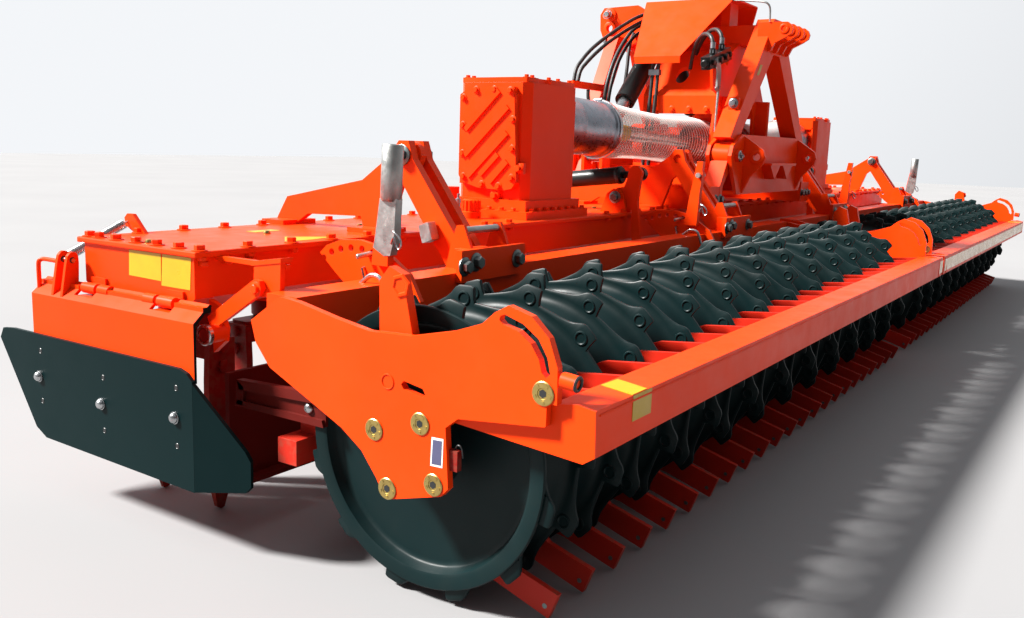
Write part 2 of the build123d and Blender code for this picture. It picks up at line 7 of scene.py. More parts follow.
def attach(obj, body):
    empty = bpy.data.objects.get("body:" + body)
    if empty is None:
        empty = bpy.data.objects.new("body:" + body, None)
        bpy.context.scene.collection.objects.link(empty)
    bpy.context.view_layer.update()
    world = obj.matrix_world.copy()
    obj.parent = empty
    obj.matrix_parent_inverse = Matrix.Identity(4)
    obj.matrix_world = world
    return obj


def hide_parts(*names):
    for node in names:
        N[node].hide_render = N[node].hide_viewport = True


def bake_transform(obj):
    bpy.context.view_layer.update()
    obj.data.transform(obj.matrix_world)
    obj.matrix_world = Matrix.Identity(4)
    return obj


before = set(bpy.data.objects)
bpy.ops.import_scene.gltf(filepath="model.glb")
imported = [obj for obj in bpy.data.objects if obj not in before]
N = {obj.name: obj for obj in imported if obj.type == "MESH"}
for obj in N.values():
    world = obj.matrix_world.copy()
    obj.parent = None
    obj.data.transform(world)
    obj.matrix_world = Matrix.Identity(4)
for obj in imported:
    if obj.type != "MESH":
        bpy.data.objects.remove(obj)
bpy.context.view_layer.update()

# Folding power harrow.  Lengths below are millimetres: x from the middle, y from
# the roller axis, z from the ground, as in the CAD; P() turns them into metres.
YC = 477.0
ZR = 285.0
SIDES = (("left", -1), ("right", 1))


def P(x, y, z):
    return Vector((x / 1000.0, (y - YC) / 1000.0, z / 1000.0))


# ---------------------------------------------------------------- camera
CAM_POS = (-4.241, -1.506, 0.829)
YAW, PITCH, ROLL = math.radians(33.09), math.radians(9.78), math.radians(-1.90)
fwd = Vector((math.cos(PITCH) * math.cos(YAW), math.cos(PITCH) * math.sin(YAW), -math.sin(PITCH)))
right = fwd.cross(Vector((0, 0, 1))).normalized()
down = fwd.cross(right)
cr, sr = math.cos(ROLL), math.sin(ROLL)
right, down = cr * right + sr * down, -sr * right + cr * down
cam_data = bpy.data.cameras.new("camera")
cam_data.sensor_width = 36.0
cam_data.lens = 33.56
cam_data.clip_end = 100.0
cam = bpy.data.objects.new("camera", cam_data)
bpy.context.scene.collection.objects.link(cam)
m = Matrix.Identity(4)
for r in range(3):
    m[r][0], m[r][1], m[r][2], m[r][3] = right[r], -down[r], -fwd[r], CAM_POS[r]
cam.matrix_world = m
bpy.context.scene.camera = cam


# ---------------------------------------------------------------- materials
def new_mat(name):
    mt = bpy.data.materials.new(name)
    mt.use_nodes = True
    nt = mt.node_tree
    bsdf = nt.nodes["Principled BSDF"]
    return mt, nt, bsdf


def node(nt, kind, **vals):
    n = nt.nodes.new(kind)
    for k, v in vals.items():
        if k in n.inputs.keys():
            n.inputs[k].default_value = v
        else:
            setattr(n, k, v)
    return n


def coords(nt, scale=(1, 1, 1)):
    tc = nt.nodes.new("ShaderNodeTexCoord")
    mp = nt.nodes.new("ShaderNodeMapping")
    mp.inputs["Scale"].default_value = scale
    nt.links.new(tc.outputs["Object"], mp.inputs["Vector"])
    return mp.outputs["Vector"]


def noise(nt, vec, scale, detail=3.0, rough=0.5):
    n = nt.nodes.new("ShaderNodeTexNoise")
    n.inputs["Scale"].default_value = scale
    n.inputs["Detail"].default_value = detail
    n.inputs["Roughness"].default_value = rough
    nt.links.new(vec, n.inputs["Vector"])
    return n.outputs["Fac"]


def ramp(nt, fac, stops):
    r = nt.nodes.new("ShaderNodeValToRGB")
    el = r.color_ramp.elements
    while len(el) < len(stops):
        el.new(0.5)
    for e, (pos, col) in zip(el, stops):
        e.position = pos
        e.color = tuple(col) + (1.0,) if len(col) == 3 else col
    nt.links.new(fac, r.inputs["Fac"])
    return r.outputs["Color"]


def span(nt, fac, a, b, c, d):
    mr = nt.nodes.new("ShaderNodeMapRange")
    mr.inputs["From Min"].default_value = a
    mr.inputs["From Max"].default_value = b
    mr.inputs["To Min"].default_value = c
    mr.inputs["To Max"].default_value = d
    nt.links.new(fac, mr.inputs["Value"])
    return mr.outputs["Result"]


def mix(nt, fac, a, b, kind="MIX"):
    mx = nt.nodes.new("ShaderNodeMix")
    mx.data_type = "RGBA"
    mx.blend_type = kind
    for sock, v in ((mx.inputs[0], fac), (mx.inputs[6], a), (mx.inputs[7], b)):
        if hasattr(v, "links"):
            nt.links.new(v, sock)
        elif isinstance(v, (int, float)):
            sock.default_value = v
        else:
            sock.default_value = tuple(v) + (1.0,) if len(v) == 3 else v
    return mx.outputs[2]


def bump(nt, bsdf, height, strength, dist=0.001):
    b = nt.nodes.new("ShaderNodeBump")
    b.inputs["Strength"].default_value = strength
    b.inputs["Distance"].default_value = dist
    nt.links.new(height, b.inputs["Height"])
    nt.links.new(b.outputs["Normal"], bsdf.inputs["Normal"])


def edge_wear(nt, lo=0.53, hi=0.60):
    g = nt.nodes.new("ShaderNodeNewGeometry")
    return span(nt, g.outputs["Pointiness"], lo, hi, 0.0, 1.0)


def paint(name, base, light, dark, rough=0.32, coat=0.35, wear=None, wear_amount=0.0, peel=0.10, dust=None,
          dust_amount=0.0, spec=0.5):
    """sprayed or powder-coated paint: slow shade changes, orange peel, fine dust in patches"""
    mt, nt, b = new_mat(name)
    v = coords(nt)
    big = noise(nt, v, 2.1, 4.0)
    col = ramp(nt, big, [(0.25, dark), (0.5, base), (0.75, light)])
    if dust:
        d = noise(nt, v, 9.0, 8.0, 0.7)
        f = span(nt, d, 0.45, 0.75, 0.0, dust_amount)
        col = mix(nt, f, col, dust)
    if wear:
        s = noise(nt, v, 60.0, 4.0, 0.6)
        pt = edge_wear(nt)
        mul = nt.nodes.new("ShaderNodeMath")
        mul.operation = "MULTIPLY"
        nt.links.new(pt, mul.inputs[0])
        nt.links.new(span(nt, s, 0.45, 0.6, 0.0, wear_amount), mul.inputs[1])
        col = mix(nt, mul.outputs[0], col, wear)
    nt.links.new(col, b.inputs["Base Color"])
    r = noise(nt, v, 14.0, 5.0, 0.6)
    nt.links.new(span(nt, r, 0.3, 0.7, rough - 0.06, rough + 0.10), b.inputs["Roughness"])
    b.inputs["Coat Weight"].default_value = coat
    b.inputs["Coat Roughness"].default_value = 0.12
    b.inputs["Specular IOR Level"].default_value = spec
    bump(nt, b, noise(nt, v, 260.0, 2.0, 0.5), peel, 0.0006)
    return mt


def metal(name, col, rough, scratch=0.3, stretch=(1, 1, 1), spots=None):
    mt, nt, b = new_mat(name)
    v = coords(nt, stretch)
    big = noise(nt, v, 30.0, 5.0, 0.6)
    dk = tuple(c * 0.72 for c in col)
    lt = tuple(min(1.0, c * 1.12) for c in col)
    c = ramp(nt, big, [(0.3, dk), (0.5, col), (0.72, lt)])
    if spots:
        c = mix(nt, span(nt, noise(nt, v, 120.0, 3.0), 0.6, 0.75, 0.0, 0.5), c, spots)
    nt.links.new(c, b.inputs["Base Color"])
    b.inputs["Metallic"].default_value = 1.0
    nt.links.new(span(nt, noise(nt, v, 90.0, 4.0, 0.7), 0.3, 0.7, rough - 0.08, rough + 0.12), b.inputs["Roughness"])
    bump(nt, b, noise(nt, v, 180.0, 4.0, 0.7), scratch, 0.0004)
    return mt


M = {}
M["orange"] = paint("orange_paint", (0.80, 0.041, 0.0016), (0.84, 0.049, 0.0022), (0.73, 0.035, 0.0012), rough=0.34,
                    coat=0.0, dust=(0.80, 0.12, 0.04), dust_amount=0.05, peel=0.06, spec=0.10)
M["red"] = paint("tool_red", (0.20, 0.009, 0.006), (0.26, 0.012, 0.007), (0.13, 0.006, 0.005), rough=0.45, coat=0.0,
                 dust=(0.12, 0.02, 0.015), dust_amount=0.22, peel=0.16, wear=(0.14, 0.06, 0.04), wear_amount=0.4, spec=0.12)
M["dark"] = paint("roller_dark", (0.0020, 0.0100, 0.0108), (0.0030, 0.0125, 0.0135), (0.0012, 0.0070, 0.0075), rough=0.40,
                  coat=0.0, dust=(0.012, 0.016, 0.014), dust_amount=0.22, peel=0.08, spec=0.13)
# levelling board's red darkened as painted shade, standing in for the shade the board sits in
M["board_red"] = paint("board_red", (0.085, 0.006, 0.004), (0.11, 0.008, 0.005), (0.055, 0.004, 0.003), rough=0.45, coat=0.0,
                       dust=(0.10, 0.02, 0.015), dust_amount=0.2, peel=0.12, spec=0.12)
# knives: the tool red brightened as painted light, standing in for light on knives that sit in shade
M["knife_red_painted_light"] = paint("knife_red_painted_light", (0.42, 0.018, 0.009), (0.50, 0.022, 0.011), (0.30, 0.013, 0.008), rough=0.42, coat=0.0,
                       dust=(0.30, 0.04, 0.02), dust_amount=0.25, peel=0.12, wear=(0.20, 0.08, 0.05), wear_amount=0.5, spec=0.14)
# scrapers' upper arms: the tool red brightened as painted light, a lit copy of the red their feet keep
M["scraper_red"] = paint("scraper_red", (0.42, 0.016, 0.006), (0.50, 0.020, 0.007), (0.32, 0.012, 0.005), rough=0.42, coat=0.0,
                         dust=(0.30, 0.04, 0.02), dust_amount=0.2, peel=0.1, spec=0.12)
M["black"] = paint("black_paint", (0.005, 0.006, 0.006), (0.008, 0.009, 0.009), (0.003, 0.003, 0.003), rough=0.38,
                   coat=0.05, peel=0.05, spec=0.25)
M["steel"] = metal("bright_steel", (0.42, 0.43, 0.44), 0.26, 0.2, (1, 1, 1))
M["zinc"] = metal("zinc_bolt", (0.30, 0.31, 0.33), 0.34, 0.35, spots=(0.20, 0.21, 0.24))
M["galv"] = metal("galvanised", (0.36, 0.37, 0.36), 0.45, 0.6, spots=(0.27, 0.28, 0.28))
M["yellow_zinc"] = metal("yellow_zinc", (0.45, 0.33, 0.11), 0.32, 0.3, spots=(0.34, 0.30, 0.17))
M["grey_bolt"] = metal("grey_bolt", (0.16, 0.19, 0.19), 0.38, 0.4, spots=(0.08, 0.09, 0.10))


def rubber():
    mt, nt, b = new_mat("hose_rubber")
    v = coords(nt)
    nt.links.new(ramp(nt, noise(nt, v, 40.0, 4.0), [(0.3, (0.006, 0.006, 0.006)), (0.7, (0.018, 0.018, 0.018))]),
                 b.inputs["Base Color"])
    nt.links.new(span(nt, noise(nt, v, 70.0, 4.0), 0.3, 0.7, 0.42, 0.62), b.inputs["Roughness"])
    bump(nt, b, noise(nt, v, 500.0, 2.0), 0.2, 0.0005)
    return mt


def label(name, col, rough=0.35):
    mt, nt, b = new_mat(name)
    v = coords(nt)
    dk = tuple(c * 0.86 for c in col)
    nt.links.new(ramp(nt, noise(nt, v, 12.0, 6.0, 0.65), [(0.3, dk), (0.6, col)]), b.inputs["Base Color"])
    nt.links.new(span(nt, noise(nt, v, 30.0, 4.0), 0.3, 0.7, rough - 0.08, rough + 0.12), b.inputs["Roughness"])
    bump(nt, b, noise(nt, v, 150.0, 2.0), 0.05, 0.0003)
    return mt


def calc(nt, op, a, b=None):
    n = nt.nodes.new("ShaderNodeMath")
    n.operation = op
    for sock, v in zip(n.inputs, (a, b)):
        if v is None:
            continue
        if hasattr(v, "links"):
            nt.links.new(v, sock)
        else:
            sock.default_value = v
    return n.outputs[0]


def clear_guard():
    """clear ribbed plastic: thin, slightly milky, ribs come from the mesh; their crests are painted lighter and more
    opaque as a painted highlight
    """
    mt, nt, b = new_mat("guard_plastic")
    v = coords(nt)
    sep = nt.nodes.new("ShaderNodeSeparateXYZ")
    nt.links.new(v, sep.inputs[0])
    along = calc(nt, "SUBTRACT", 1.2495, calc(nt, "ABSOLUTE", sep.outputs["X"]))
    turn = calc(nt, "MULTIPLY", calc(nt, "SUBTRACT", calc(nt, "DIVIDE", along, 0.9957), 0.224), 2 * math.pi / 0.021)
    crest = calc(nt, "MULTIPLY", calc(nt, "SUBTRACT", 1.0, calc(nt, "COSINE", turn)), 0.5)
    # rib crests painted lighter and more opaque: a painted highlight along each rib
    base = ramp(nt, noise(nt, v, 5.0, 3.0), [(0.3, (0.28, 0.24, 0.23)), (0.7, (0.40, 0.33, 0.30))])
    nt.links.new(mix(nt, crest, base, ramp(nt, noise(nt, v, 9.0, 3.0), [(0.3, (0.62, 0.60, 0.60)), (0.7, (0.80, 0.76, 0.74))])),
                 b.inputs["Base Color"])
    nt.links.new(span(nt, noise(nt, v, 18.0, 4.0), 0.3, 0.7, 0.12, 0.28), b.inputs["Roughness"])
    b.inputs["IOR"].default_value = 1.45
    b.inputs["Alpha"].default_value = 1.0
    tr = nt.nodes.new("ShaderNodeBsdfTransparent")
    tr.inputs["Color"].default_value = (1.0, 0.96, 0.92, 1)
    ms = nt.nodes.new("ShaderNodeMixShader")
    out = nt.nodes["Material Output"]
    lw = nt.nodes.new("ShaderNodeLayerWeight")
    lw.inputs["Blend"].default_value = 0.35
    nt.links.new(calc(nt, "MINIMUM", calc(nt, "ADD", span(nt, lw.outputs["Facing"], 0.0, 1.0, 0.16, 0.80),
                                          calc(nt, "MULTIPLY", crest, 0.55)), 0.97), ms.inputs[0])
    nt.links.new(tr.outputs[0], ms.inputs[1])
    nt.links.new(b.outputs[0], ms.inputs[2])
    nt.links.new(ms.outputs[0], out.inputs["Surface"])
    return mt


def two_tone(name, first, second, where, rough, spec):
    """paint in two colours on one node; where() gives the mask of the second from |x|, y and z of the object"""
    mt, nt, b = new_mat(name)
    v = coords(nt)
    sep = nt.nodes.new("ShaderNodeSeparateXYZ")
    nt.links.new(v, sep.inputs[0])
    mask = where(nt, calc(nt, "ABSOLUTE", sep.outputs["X"]), sep.outputs["Y"], sep.outputs["Z"])
    big = noise(nt, v, 2.1, 4.0)
    cols = [ramp(nt, big, [(0.25, tuple(0.88 * c for c in col)), (0.5, col), (0.75, tuple(1.08 * c for c in col))])
            for col in (first, second)]
    nt.links.new(mix(nt, mask, cols[0], cols[1]), b.inputs["Base Color"])
    nt.links.new(span(nt, noise(nt, v, 14.0, 5.0, 0.6), 0.3, 0.7, rough - 0.06, rough + 0.10), b.inputs["Roughness"])
    b.inputs["Coat Weight"].default_value = 0.0
    b.inputs["Coat Roughness"].default_value = 0.12
    b.inputs["Specular IOR Level"].default_value = spec
    bump(nt, b, noise(nt, v, 260.0, 2.0, 0.5), 0.08, 0.0006)
    return mt


ORANGE, DARK, RED = (0.80, 0.041, 0.0016), (0.0020, 0.0100, 0.0108), (0.20, 0.009, 0.006)
M["hood_and_plate"] = two_tone("hood_and_plate", ORANGE, DARK, lambda nt, x, y, z: calc(
    nt, "MAXIMUM", calc(nt, "GREATER_THAN", x, 3.05605), calc(nt, "LESS_THAN", y, 0.0035)), 0.36, 0.06)
# the board's dark red here is darkened as painted shade; the orange lever above z 0.352 is real two-tone paint
M["board_and_lever"] = two_tone("board_and_lever", (0.085, 0.006, 0.004), ORANGE, lambda nt, x, y, z: calc(
    nt, "GREATER_THAN", z, 0.352), 0.45, 0.11)
M["beam_and_scrapers"] = two_tone("beam_and_scrapers", ORANGE, RED, lambda nt, x, y, z: calc(
    nt, "MULTIPLY", calc(nt, "GREATER_THAN", y, -0.7748), calc(
        nt, "MULTIPLY", calc(nt, "LESS_THAN", x, 2.975), calc(nt, "GREATER_THAN", x, 0.094))), 0.36, 0.11)
M["rubber"] = rubber()
M["yellow"] = label("yellow_label", (0.46, 0.28, 0.0))
M["grey_label"] = label("grey_label", (0.06, 0.06, 0.12))
M["beige"] = label("reflector_beige", (0.80, 0.56, 0.36), 0.25)
M["white"] = label("label_white", (0.62, 0.62, 0.60))
M["bell"] = metal("spun_steel", (0.30, 0.32, 0.36), 0.30, 0.3, (1, 1, 1), spots=(0.20, 0.21, 0.24))
# black for the grease line; the same black also serves as painted shade inside holes and recesses
M["plastic"] = label("black_plastic", (0.010, 0.011, 0.012), 0.42)
M["guard"] = clear_guard()


# ---------------------------------------------------------------- mesh helpers
BUCKET = {}       # (body, material, group) -> [verts, faces]


def put(body, mat, verts, faces, group=""):
    vs, fs = BUCKET.setdefault((body, mat, group), ([], []))
    k = len(vs)
    vs.extend(verts)
    fs.extend([tuple(i + k for i in f) for f in faces])


def frame_at(pos, zdir, xdir=None):
    z = Vector(zdir).normalized()
    x = Vector(xdir) if xdir is not None else (Vector((1, 0, 0)) if abs(z.x) < 0.9 else Vector((0, 1, 0)))
    x = (x - z * x.dot(z)).normalized()
    y = z.cross(x)
    mm = Matrix.Identity(4)
    for r in range(3):
        mm[r][0], mm[r][1], mm[r][2], mm[r][3] = x[r], y[r], z[r], pos[r]
    return mm


def local(verts, mm):
    """verts in millimetres in a local frame -> metres in the row frame"""
    return [mm @ (Vector(v) / 1000.0) for v in verts]


def lathe(prof, n=24, start=0.0):
    """prof: (radius, height) in millimetres, bottom to top, closed at radius 0"""
    verts, faces, rings = [], [], []
    for r, h in prof:
        if r <= 1e-6:
            rings.append([len(verts)])
            verts.append((0, 0, h))
        else:
            rings.append(list(range(len(verts), len(verts) + n)))
            for k in range(n):
                a = start + 2 * math.pi * k / n
                verts.append((r * math.cos(a), r * math.sin(a), h))
    for a, b in zip(rings, rings[1:]):
        for k in range(n):
            j = (k + 1) % n
            if len(a) == 1 and len(b) == 1:
                continue
            if len(a) == 1:
                faces.append((a[0], b[k], b[j])[::-1])
            elif len(b) == 1:
                faces.append((a[k], a[j], b[0]))
            else:
                faces.append((a[k], a[j], b[j], b[k]))
    return verts, faces


def turned(body, mat, pos, axis, prof, n=24, group="", start=0.0, xdir=None):
    v, f = lathe(prof, n, start)
    put(body, mat, local(v, frame_at(pos, axis, xdir)), f, group)


def from_bm(bm):
    bm.verts.ensure_lookup_table()
    bm.verts.index_update()
    v = [tuple(x.co) for x in bm.verts]
    f = [tuple(x.index for x in fc.verts) for fc in bm.faces]
    bm.free()
    return v, f


def prism(outline, h, bev=1.5, seg=2):
    """outline (x, y) in millimetres, thickness h along z from 0, edges rounded"""
    bm = bmesh.new()
    area = sum(a[0] * b[1] - b[0] * a[1] for a, b in zip(outline, outline[1:] + outline[:1]))
    pts = outline if area > 0 else outline[::-1]
    bot = [bm.verts.new((x, y, 0)) for x, y in pts]
    fc = bm.faces.new(bot[::-1])
    top = [bm.verts.new((x, y, h)) for x, y in pts]
    bm.faces.new(top)
    n = len(pts)
    for k in range(n):
        bm.faces.new((bot[k], bot[(k + 1) % n], top[(k + 1) % n], top[k]))
    if bev > 0:
        edges = [e for e in bm.edges if e.calc_face_angle(0) > math.radians(25)]
        bmesh.ops.bevel(bm, geom=edges, offset=bev, segments=seg, profile=0.6, affect="EDGES", clamp_overlap=True)
    return from_bm(bm)


def rounded(outline, radii, n=5):
    """outline with its corners rounded; radii one number or one per corner"""
    out = []
    k = len(outline)
    for i in range(k):
        p, a, b = Vector(outline[i]), Vector(outline[i - 1]), Vector(outline[(i + 1) % k])
        r = radii[i] if isinstance(radii, (list, tuple)) else radii
        u, w = (a - p), (b - p)
        lu, lw = u.length, w.length
        u.normalize(); w.normalize()
        ang = math.acos(max(-1, min(1, u.dot(w))))
        if r <= 0 or ang > math.radians(172):
            out.append((p.x, p.y))
            continue
        d = min(r / math.tan(ang / 2), 0.48 * lu, 0.48 * lw)
        rr = d * math.tan(ang / 2)
        c = p + (u + w).normalized() * (rr / math.sin(ang / 2))
        s0, s1 = p + u * d, p + w * d
        a0 = math.atan2(s0.y - c.y, s0.x - c.x)
        a1 = math.atan2(s1.y - c.y, s1.x - c.x)
        da = (a1 - a0 + math.pi) % (2 * math.pi) - math.pi
        for j in range(n + 1):
            t = a0 + da * j / n
            out.append((c.x + rr * math.cos(t), c.y + rr * math.sin(t)))
    return out


def plate_yz(body, mat, outline, x0, x1, bev=1.5, group="", seg=2):
    """plate whose outline is (y, z) in millimetres in the row's measure"""
    v, f = prism([(y, z) for y, z in outline], abs(x1 - x0), bev, seg)
    xm = min(x0, x1)
    put(body, mat, [P(xm + c, a, b) for a, b, c in v], f, group)


def plate_xz(body, mat, outline, y0, y1, bev=1.5, group="", seg=2):
    v, f = prism([(x, z) for x, z in outline], abs(y1 - y0), bev, seg)
    ym = max(y0, y1)
    put(body, mat, [P(a, ym - c, b) for a, b, c in v], f, group)


def plate_xy(body, mat, outline, z0, z1, bev=1.5, group="", seg=2):
    v, f = prism([(x, y) for x, y in outline], abs(z1 - z0), bev, seg)
    zm = min(z0, z1)
    put(body, mat, [P(a, b, zm + c) for a, b, c in v], f, group)


def block(body, mat, x0, x1, y0, y1, z0, z1, bev=2.0, group="", seg=2):
    x0, x1 = min(x0, x1), max(x0, x1)
    plate_xy(body, mat, [(x0, y0), (x1, y0), (x1, y1), (x0, y1)], z0, z1, bev, group, seg)


def hexprism(af, h, cham=0.12):
    """hexagon head from z 0 to h, its top chamfered"""
    R = af / 2 / math.cos(math.pi / 6)
    verts, faces = [], []
    for rr, z in ((R, 0.0), (R, h * (1 - cham)), (R * 0.88, h)):
        for k in range(6):
            a = math.pi / 6 + k * math.pi / 3
            verts.append((rr * math.cos(a), rr * math.sin(a), z))
    for lev in range(2):
        for k in range(6):
            j = (k + 1) % 6
            faces.append((lev * 6 + k, lev * 6 + j, (lev + 1) * 6 + j, (lev + 1) * 6 + k))
    faces.append(tuple(range(12, 18)))
    return verts, faces


def bolt(body, mat, pos, axis, af=19.0, h=None, washer=True, stud=0.0, spin=0.0, group="bolts"):
    """hex head with a washer; stud > 0 shows the thread's end past a nut"""
    h = h or af * 0.62
    base = 0.0
    mm = frame_at(pos, axis)
    mm = mm @ Matrix.Rotation(spin, 4, "Z")
    if washer:
        t = af * 0.13
        v, f = lathe([(0, 0), (af * 0.86, 0), (af * 0.86, t * 0.7), (af * 0.80, t), (0, t)], 20)
        put(body, mat, local(v, mm), f, group)
        base = t
    v, f = hexprism(af, h)
    put(body, mat, local([(a, b, c + base) for a, b, c in v], mm), f, group)
    if stud > 0:
        r = af * 0.30
        v, f = lathe([(r, base + h - 0.5), (r, base + h + stud - 1.2), (r - 1.2, base + h + stud), (0, base + h + stud)], 14)
        put(body, mat, local(v, mm), f, group)


def tube(body, mat, pts, r, n=12, group="", ends=True, smooth_steps=0, radii=None):
    """round bar or hose along points in the row's millimetres"""
    q = [P(*p) for p in pts]
    if smooth_steps:
        q = spline(q, smooth_steps)
    verts, faces = [], []
    prev = None
    m_ = len(q)
    for i, p in enumerate(q):
        t = (q[min(i + 1, m_ - 1)] - q[max(i - 1, 0)]).normalized()
        if prev is None:
            ref = Vector((0, 0, 1)) if abs(t.z) < 0.9 else Vector((1, 0, 0))
            prev = (ref - t * ref.dot(t)).normalized()
        else:
            prev = (prev - t * prev.dot(t)).normalized()
        b = t.cross(prev)
        rr = (radii[i] if radii else r) / 1000.0
        for k in range(n):
            a = 2 * math.pi * k / n
            verts.append(p + (prev * math.cos(a) + b * math.sin(a)) * rr)
    for i in range(m_ - 1):
        for k in range(n):
            j = (k + 1) % n
            faces.append((i * n + k, i * n + j, (i + 1) * n + j, (i + 1) * n + k))
    if ends:
        faces.append(tuple(range(n))[::-1])
        faces.append(tuple(range((m_ - 1) * n, m_ * n)))
    put(body, mat, verts, faces, group)


def spline(q, steps):
    """smooth curve through points"""
    out = []
    k = len(q)
    for i in range(k - 1):
        p0, p1, p2, p3 = q[max(i - 1, 0)], q[i], q[i + 1], q[min(i + 2, k - 1)]
        for s in range(steps):
            t = s / steps
            out.append(0.5 * ((2 * p1) + (p2 - p0) * t + (2 * p0 - 5 * p1 + 4 * p2 - p3) * t * t
                              + (3 * p1 - p0 - 3 * p2 + p3) * t ** 3))
    out.append(q[-1])
    return out


def ring(body, mat, pos, axis, R, r, n=24, k=8, group=""):
    """torus"""
    verts, faces = [], []
    for i in range(n):
        a = 2 * math.pi * i / n
        for j in range(k):
            b = 2 * math.pi * j / k
            verts.append(((R + r * math.cos(b)) * math.cos(a), (R + r * math.cos(b)) * math.sin(a), r * math.sin(b)))
    for i in range(n):
        for j in range(k):
            faces.append((i * k + j, ((i + 1) % n) * k + j, ((i + 1) % n) * k + (j + 1) % k, i * k + (j + 1) % k))
    put(body, mat, local(verts, frame_at(pos, axis)), faces, group)


def build_buckets():
    for (body, mat, group), (vs, fs) in sorted(BUCKET.items()):
        name = "_".join(x for x in (body, mat, group) if x)
        me = bpy.data.meshes.new(name)
        me.from_pydata([tuple(v) for v in vs], [], fs)
        me.validate()
        bm = bmesh.new()
        bm.from_mesh(me)
        bmesh.ops.recalc_face_normals(bm, faces=bm.faces)
        bm.to_mesh(me)
        bm.free()
        me.polygons.foreach_set("use_smooth", [True] * len(me.polygons))
        me.set_sharp_from_angle(angle=math.radians(38))
        me.materials.append(M[mat])
        ob = bpy.data.objects.new(name, me)
        bpy.context.scene.collection.objects.link(ob)
        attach(ob, body)


REPL = []          # (body, material, group, nodes replaced)


# ---------------------------------------------------------------- CAD nodes that stay: material and rounded edges
KEEP = {"orange": ["centre_frame", "headstock", "tower_roof", "rear_coupling_frame", "centre_gearbox"],
        "steel": ["pto_shaft"], "black": ["hydraulic_valve"], "rubber": ["hoses"]}
for sd, s in SIDES:
    KEEP["orange"] += [n + "_" + sd for n in ("wing_trough", "wing_cover", "wing_gearbox", "wing_brackets",
                                              "roller_frame")]
    KEEP["red"] = KEEP.get("red", []) + []
    # knives take the red brightened as painted light
    KEEP.setdefault("knife_red_painted_light", []).append("knives_" + sd)
    # levelling board takes the two-tone whose board red is darkened as painted shade
    KEEP.setdefault("board_and_lever", []).append("levelling_board_" + sd)
    KEEP.setdefault("beam_and_scrapers", []).append("scraper_beam_" + sd)
    KEEP.setdefault("hood_and_plate", []).append("side_deflector_" + sd)
    KEEP["black"] += ["levelling_cylinder_" + sd, "fold_cylinder_" + sd]
    KEEP["steel"] += ["fold_rod_" + sd]
EDGE = {"wing_trough": 3.0, "wing_cover": 2.5, "tower_roof": 1.2, "hoses": 0.0, "pto_shaft": 1.0, "knives": 1.2,
        "side_deflector": 1.2, "scraper_beam": 5.0, "levelling_board": 2.0}
for mat, names in KEEP.items():
    for n in names:
        ob = N[n]
        ob.data.materials.clear()
        ob.data.materials.append(M[mat])
        stem = n.rsplit("_", 1)[0] if n.endswith(("left", "right")) else n
        w = EDGE.get(stem, 2.5)
        if w > 0:
            wl = ob.modifiers.new("weld", "WELD")
            wl.merge_threshold = 0.00002
            bv = ob.modifiers.new("edges", "BEVEL")
            bv.width = w / 1000.0
            bv.segments = 2
            bv.limit_method = "ANGLE"
            bv.angle_limit = math.radians(32)
            bv.harden_normals = False
            bv.use_clamp_overlap = True
            wn_ = ob.modifiers.new("even_faces", "WEIGHTED_NORMAL")
            wn_.keep_sharp = True
            wn_.weight = 90


# ---------------------------------------------------------------- roller
TEETH = 12
CREST = [(0.0, 281.0), (1.2, 283.0), (6.6, 283.0), (8.4, 279.0), (11.0, 268.0), (13.6, 261.5), (17.0, 257.0),
         (20.6, 254.0), (25.0, 252.5), (28.9, 252.0), (29.5, 262.0)]   # angle after the step, crest radius


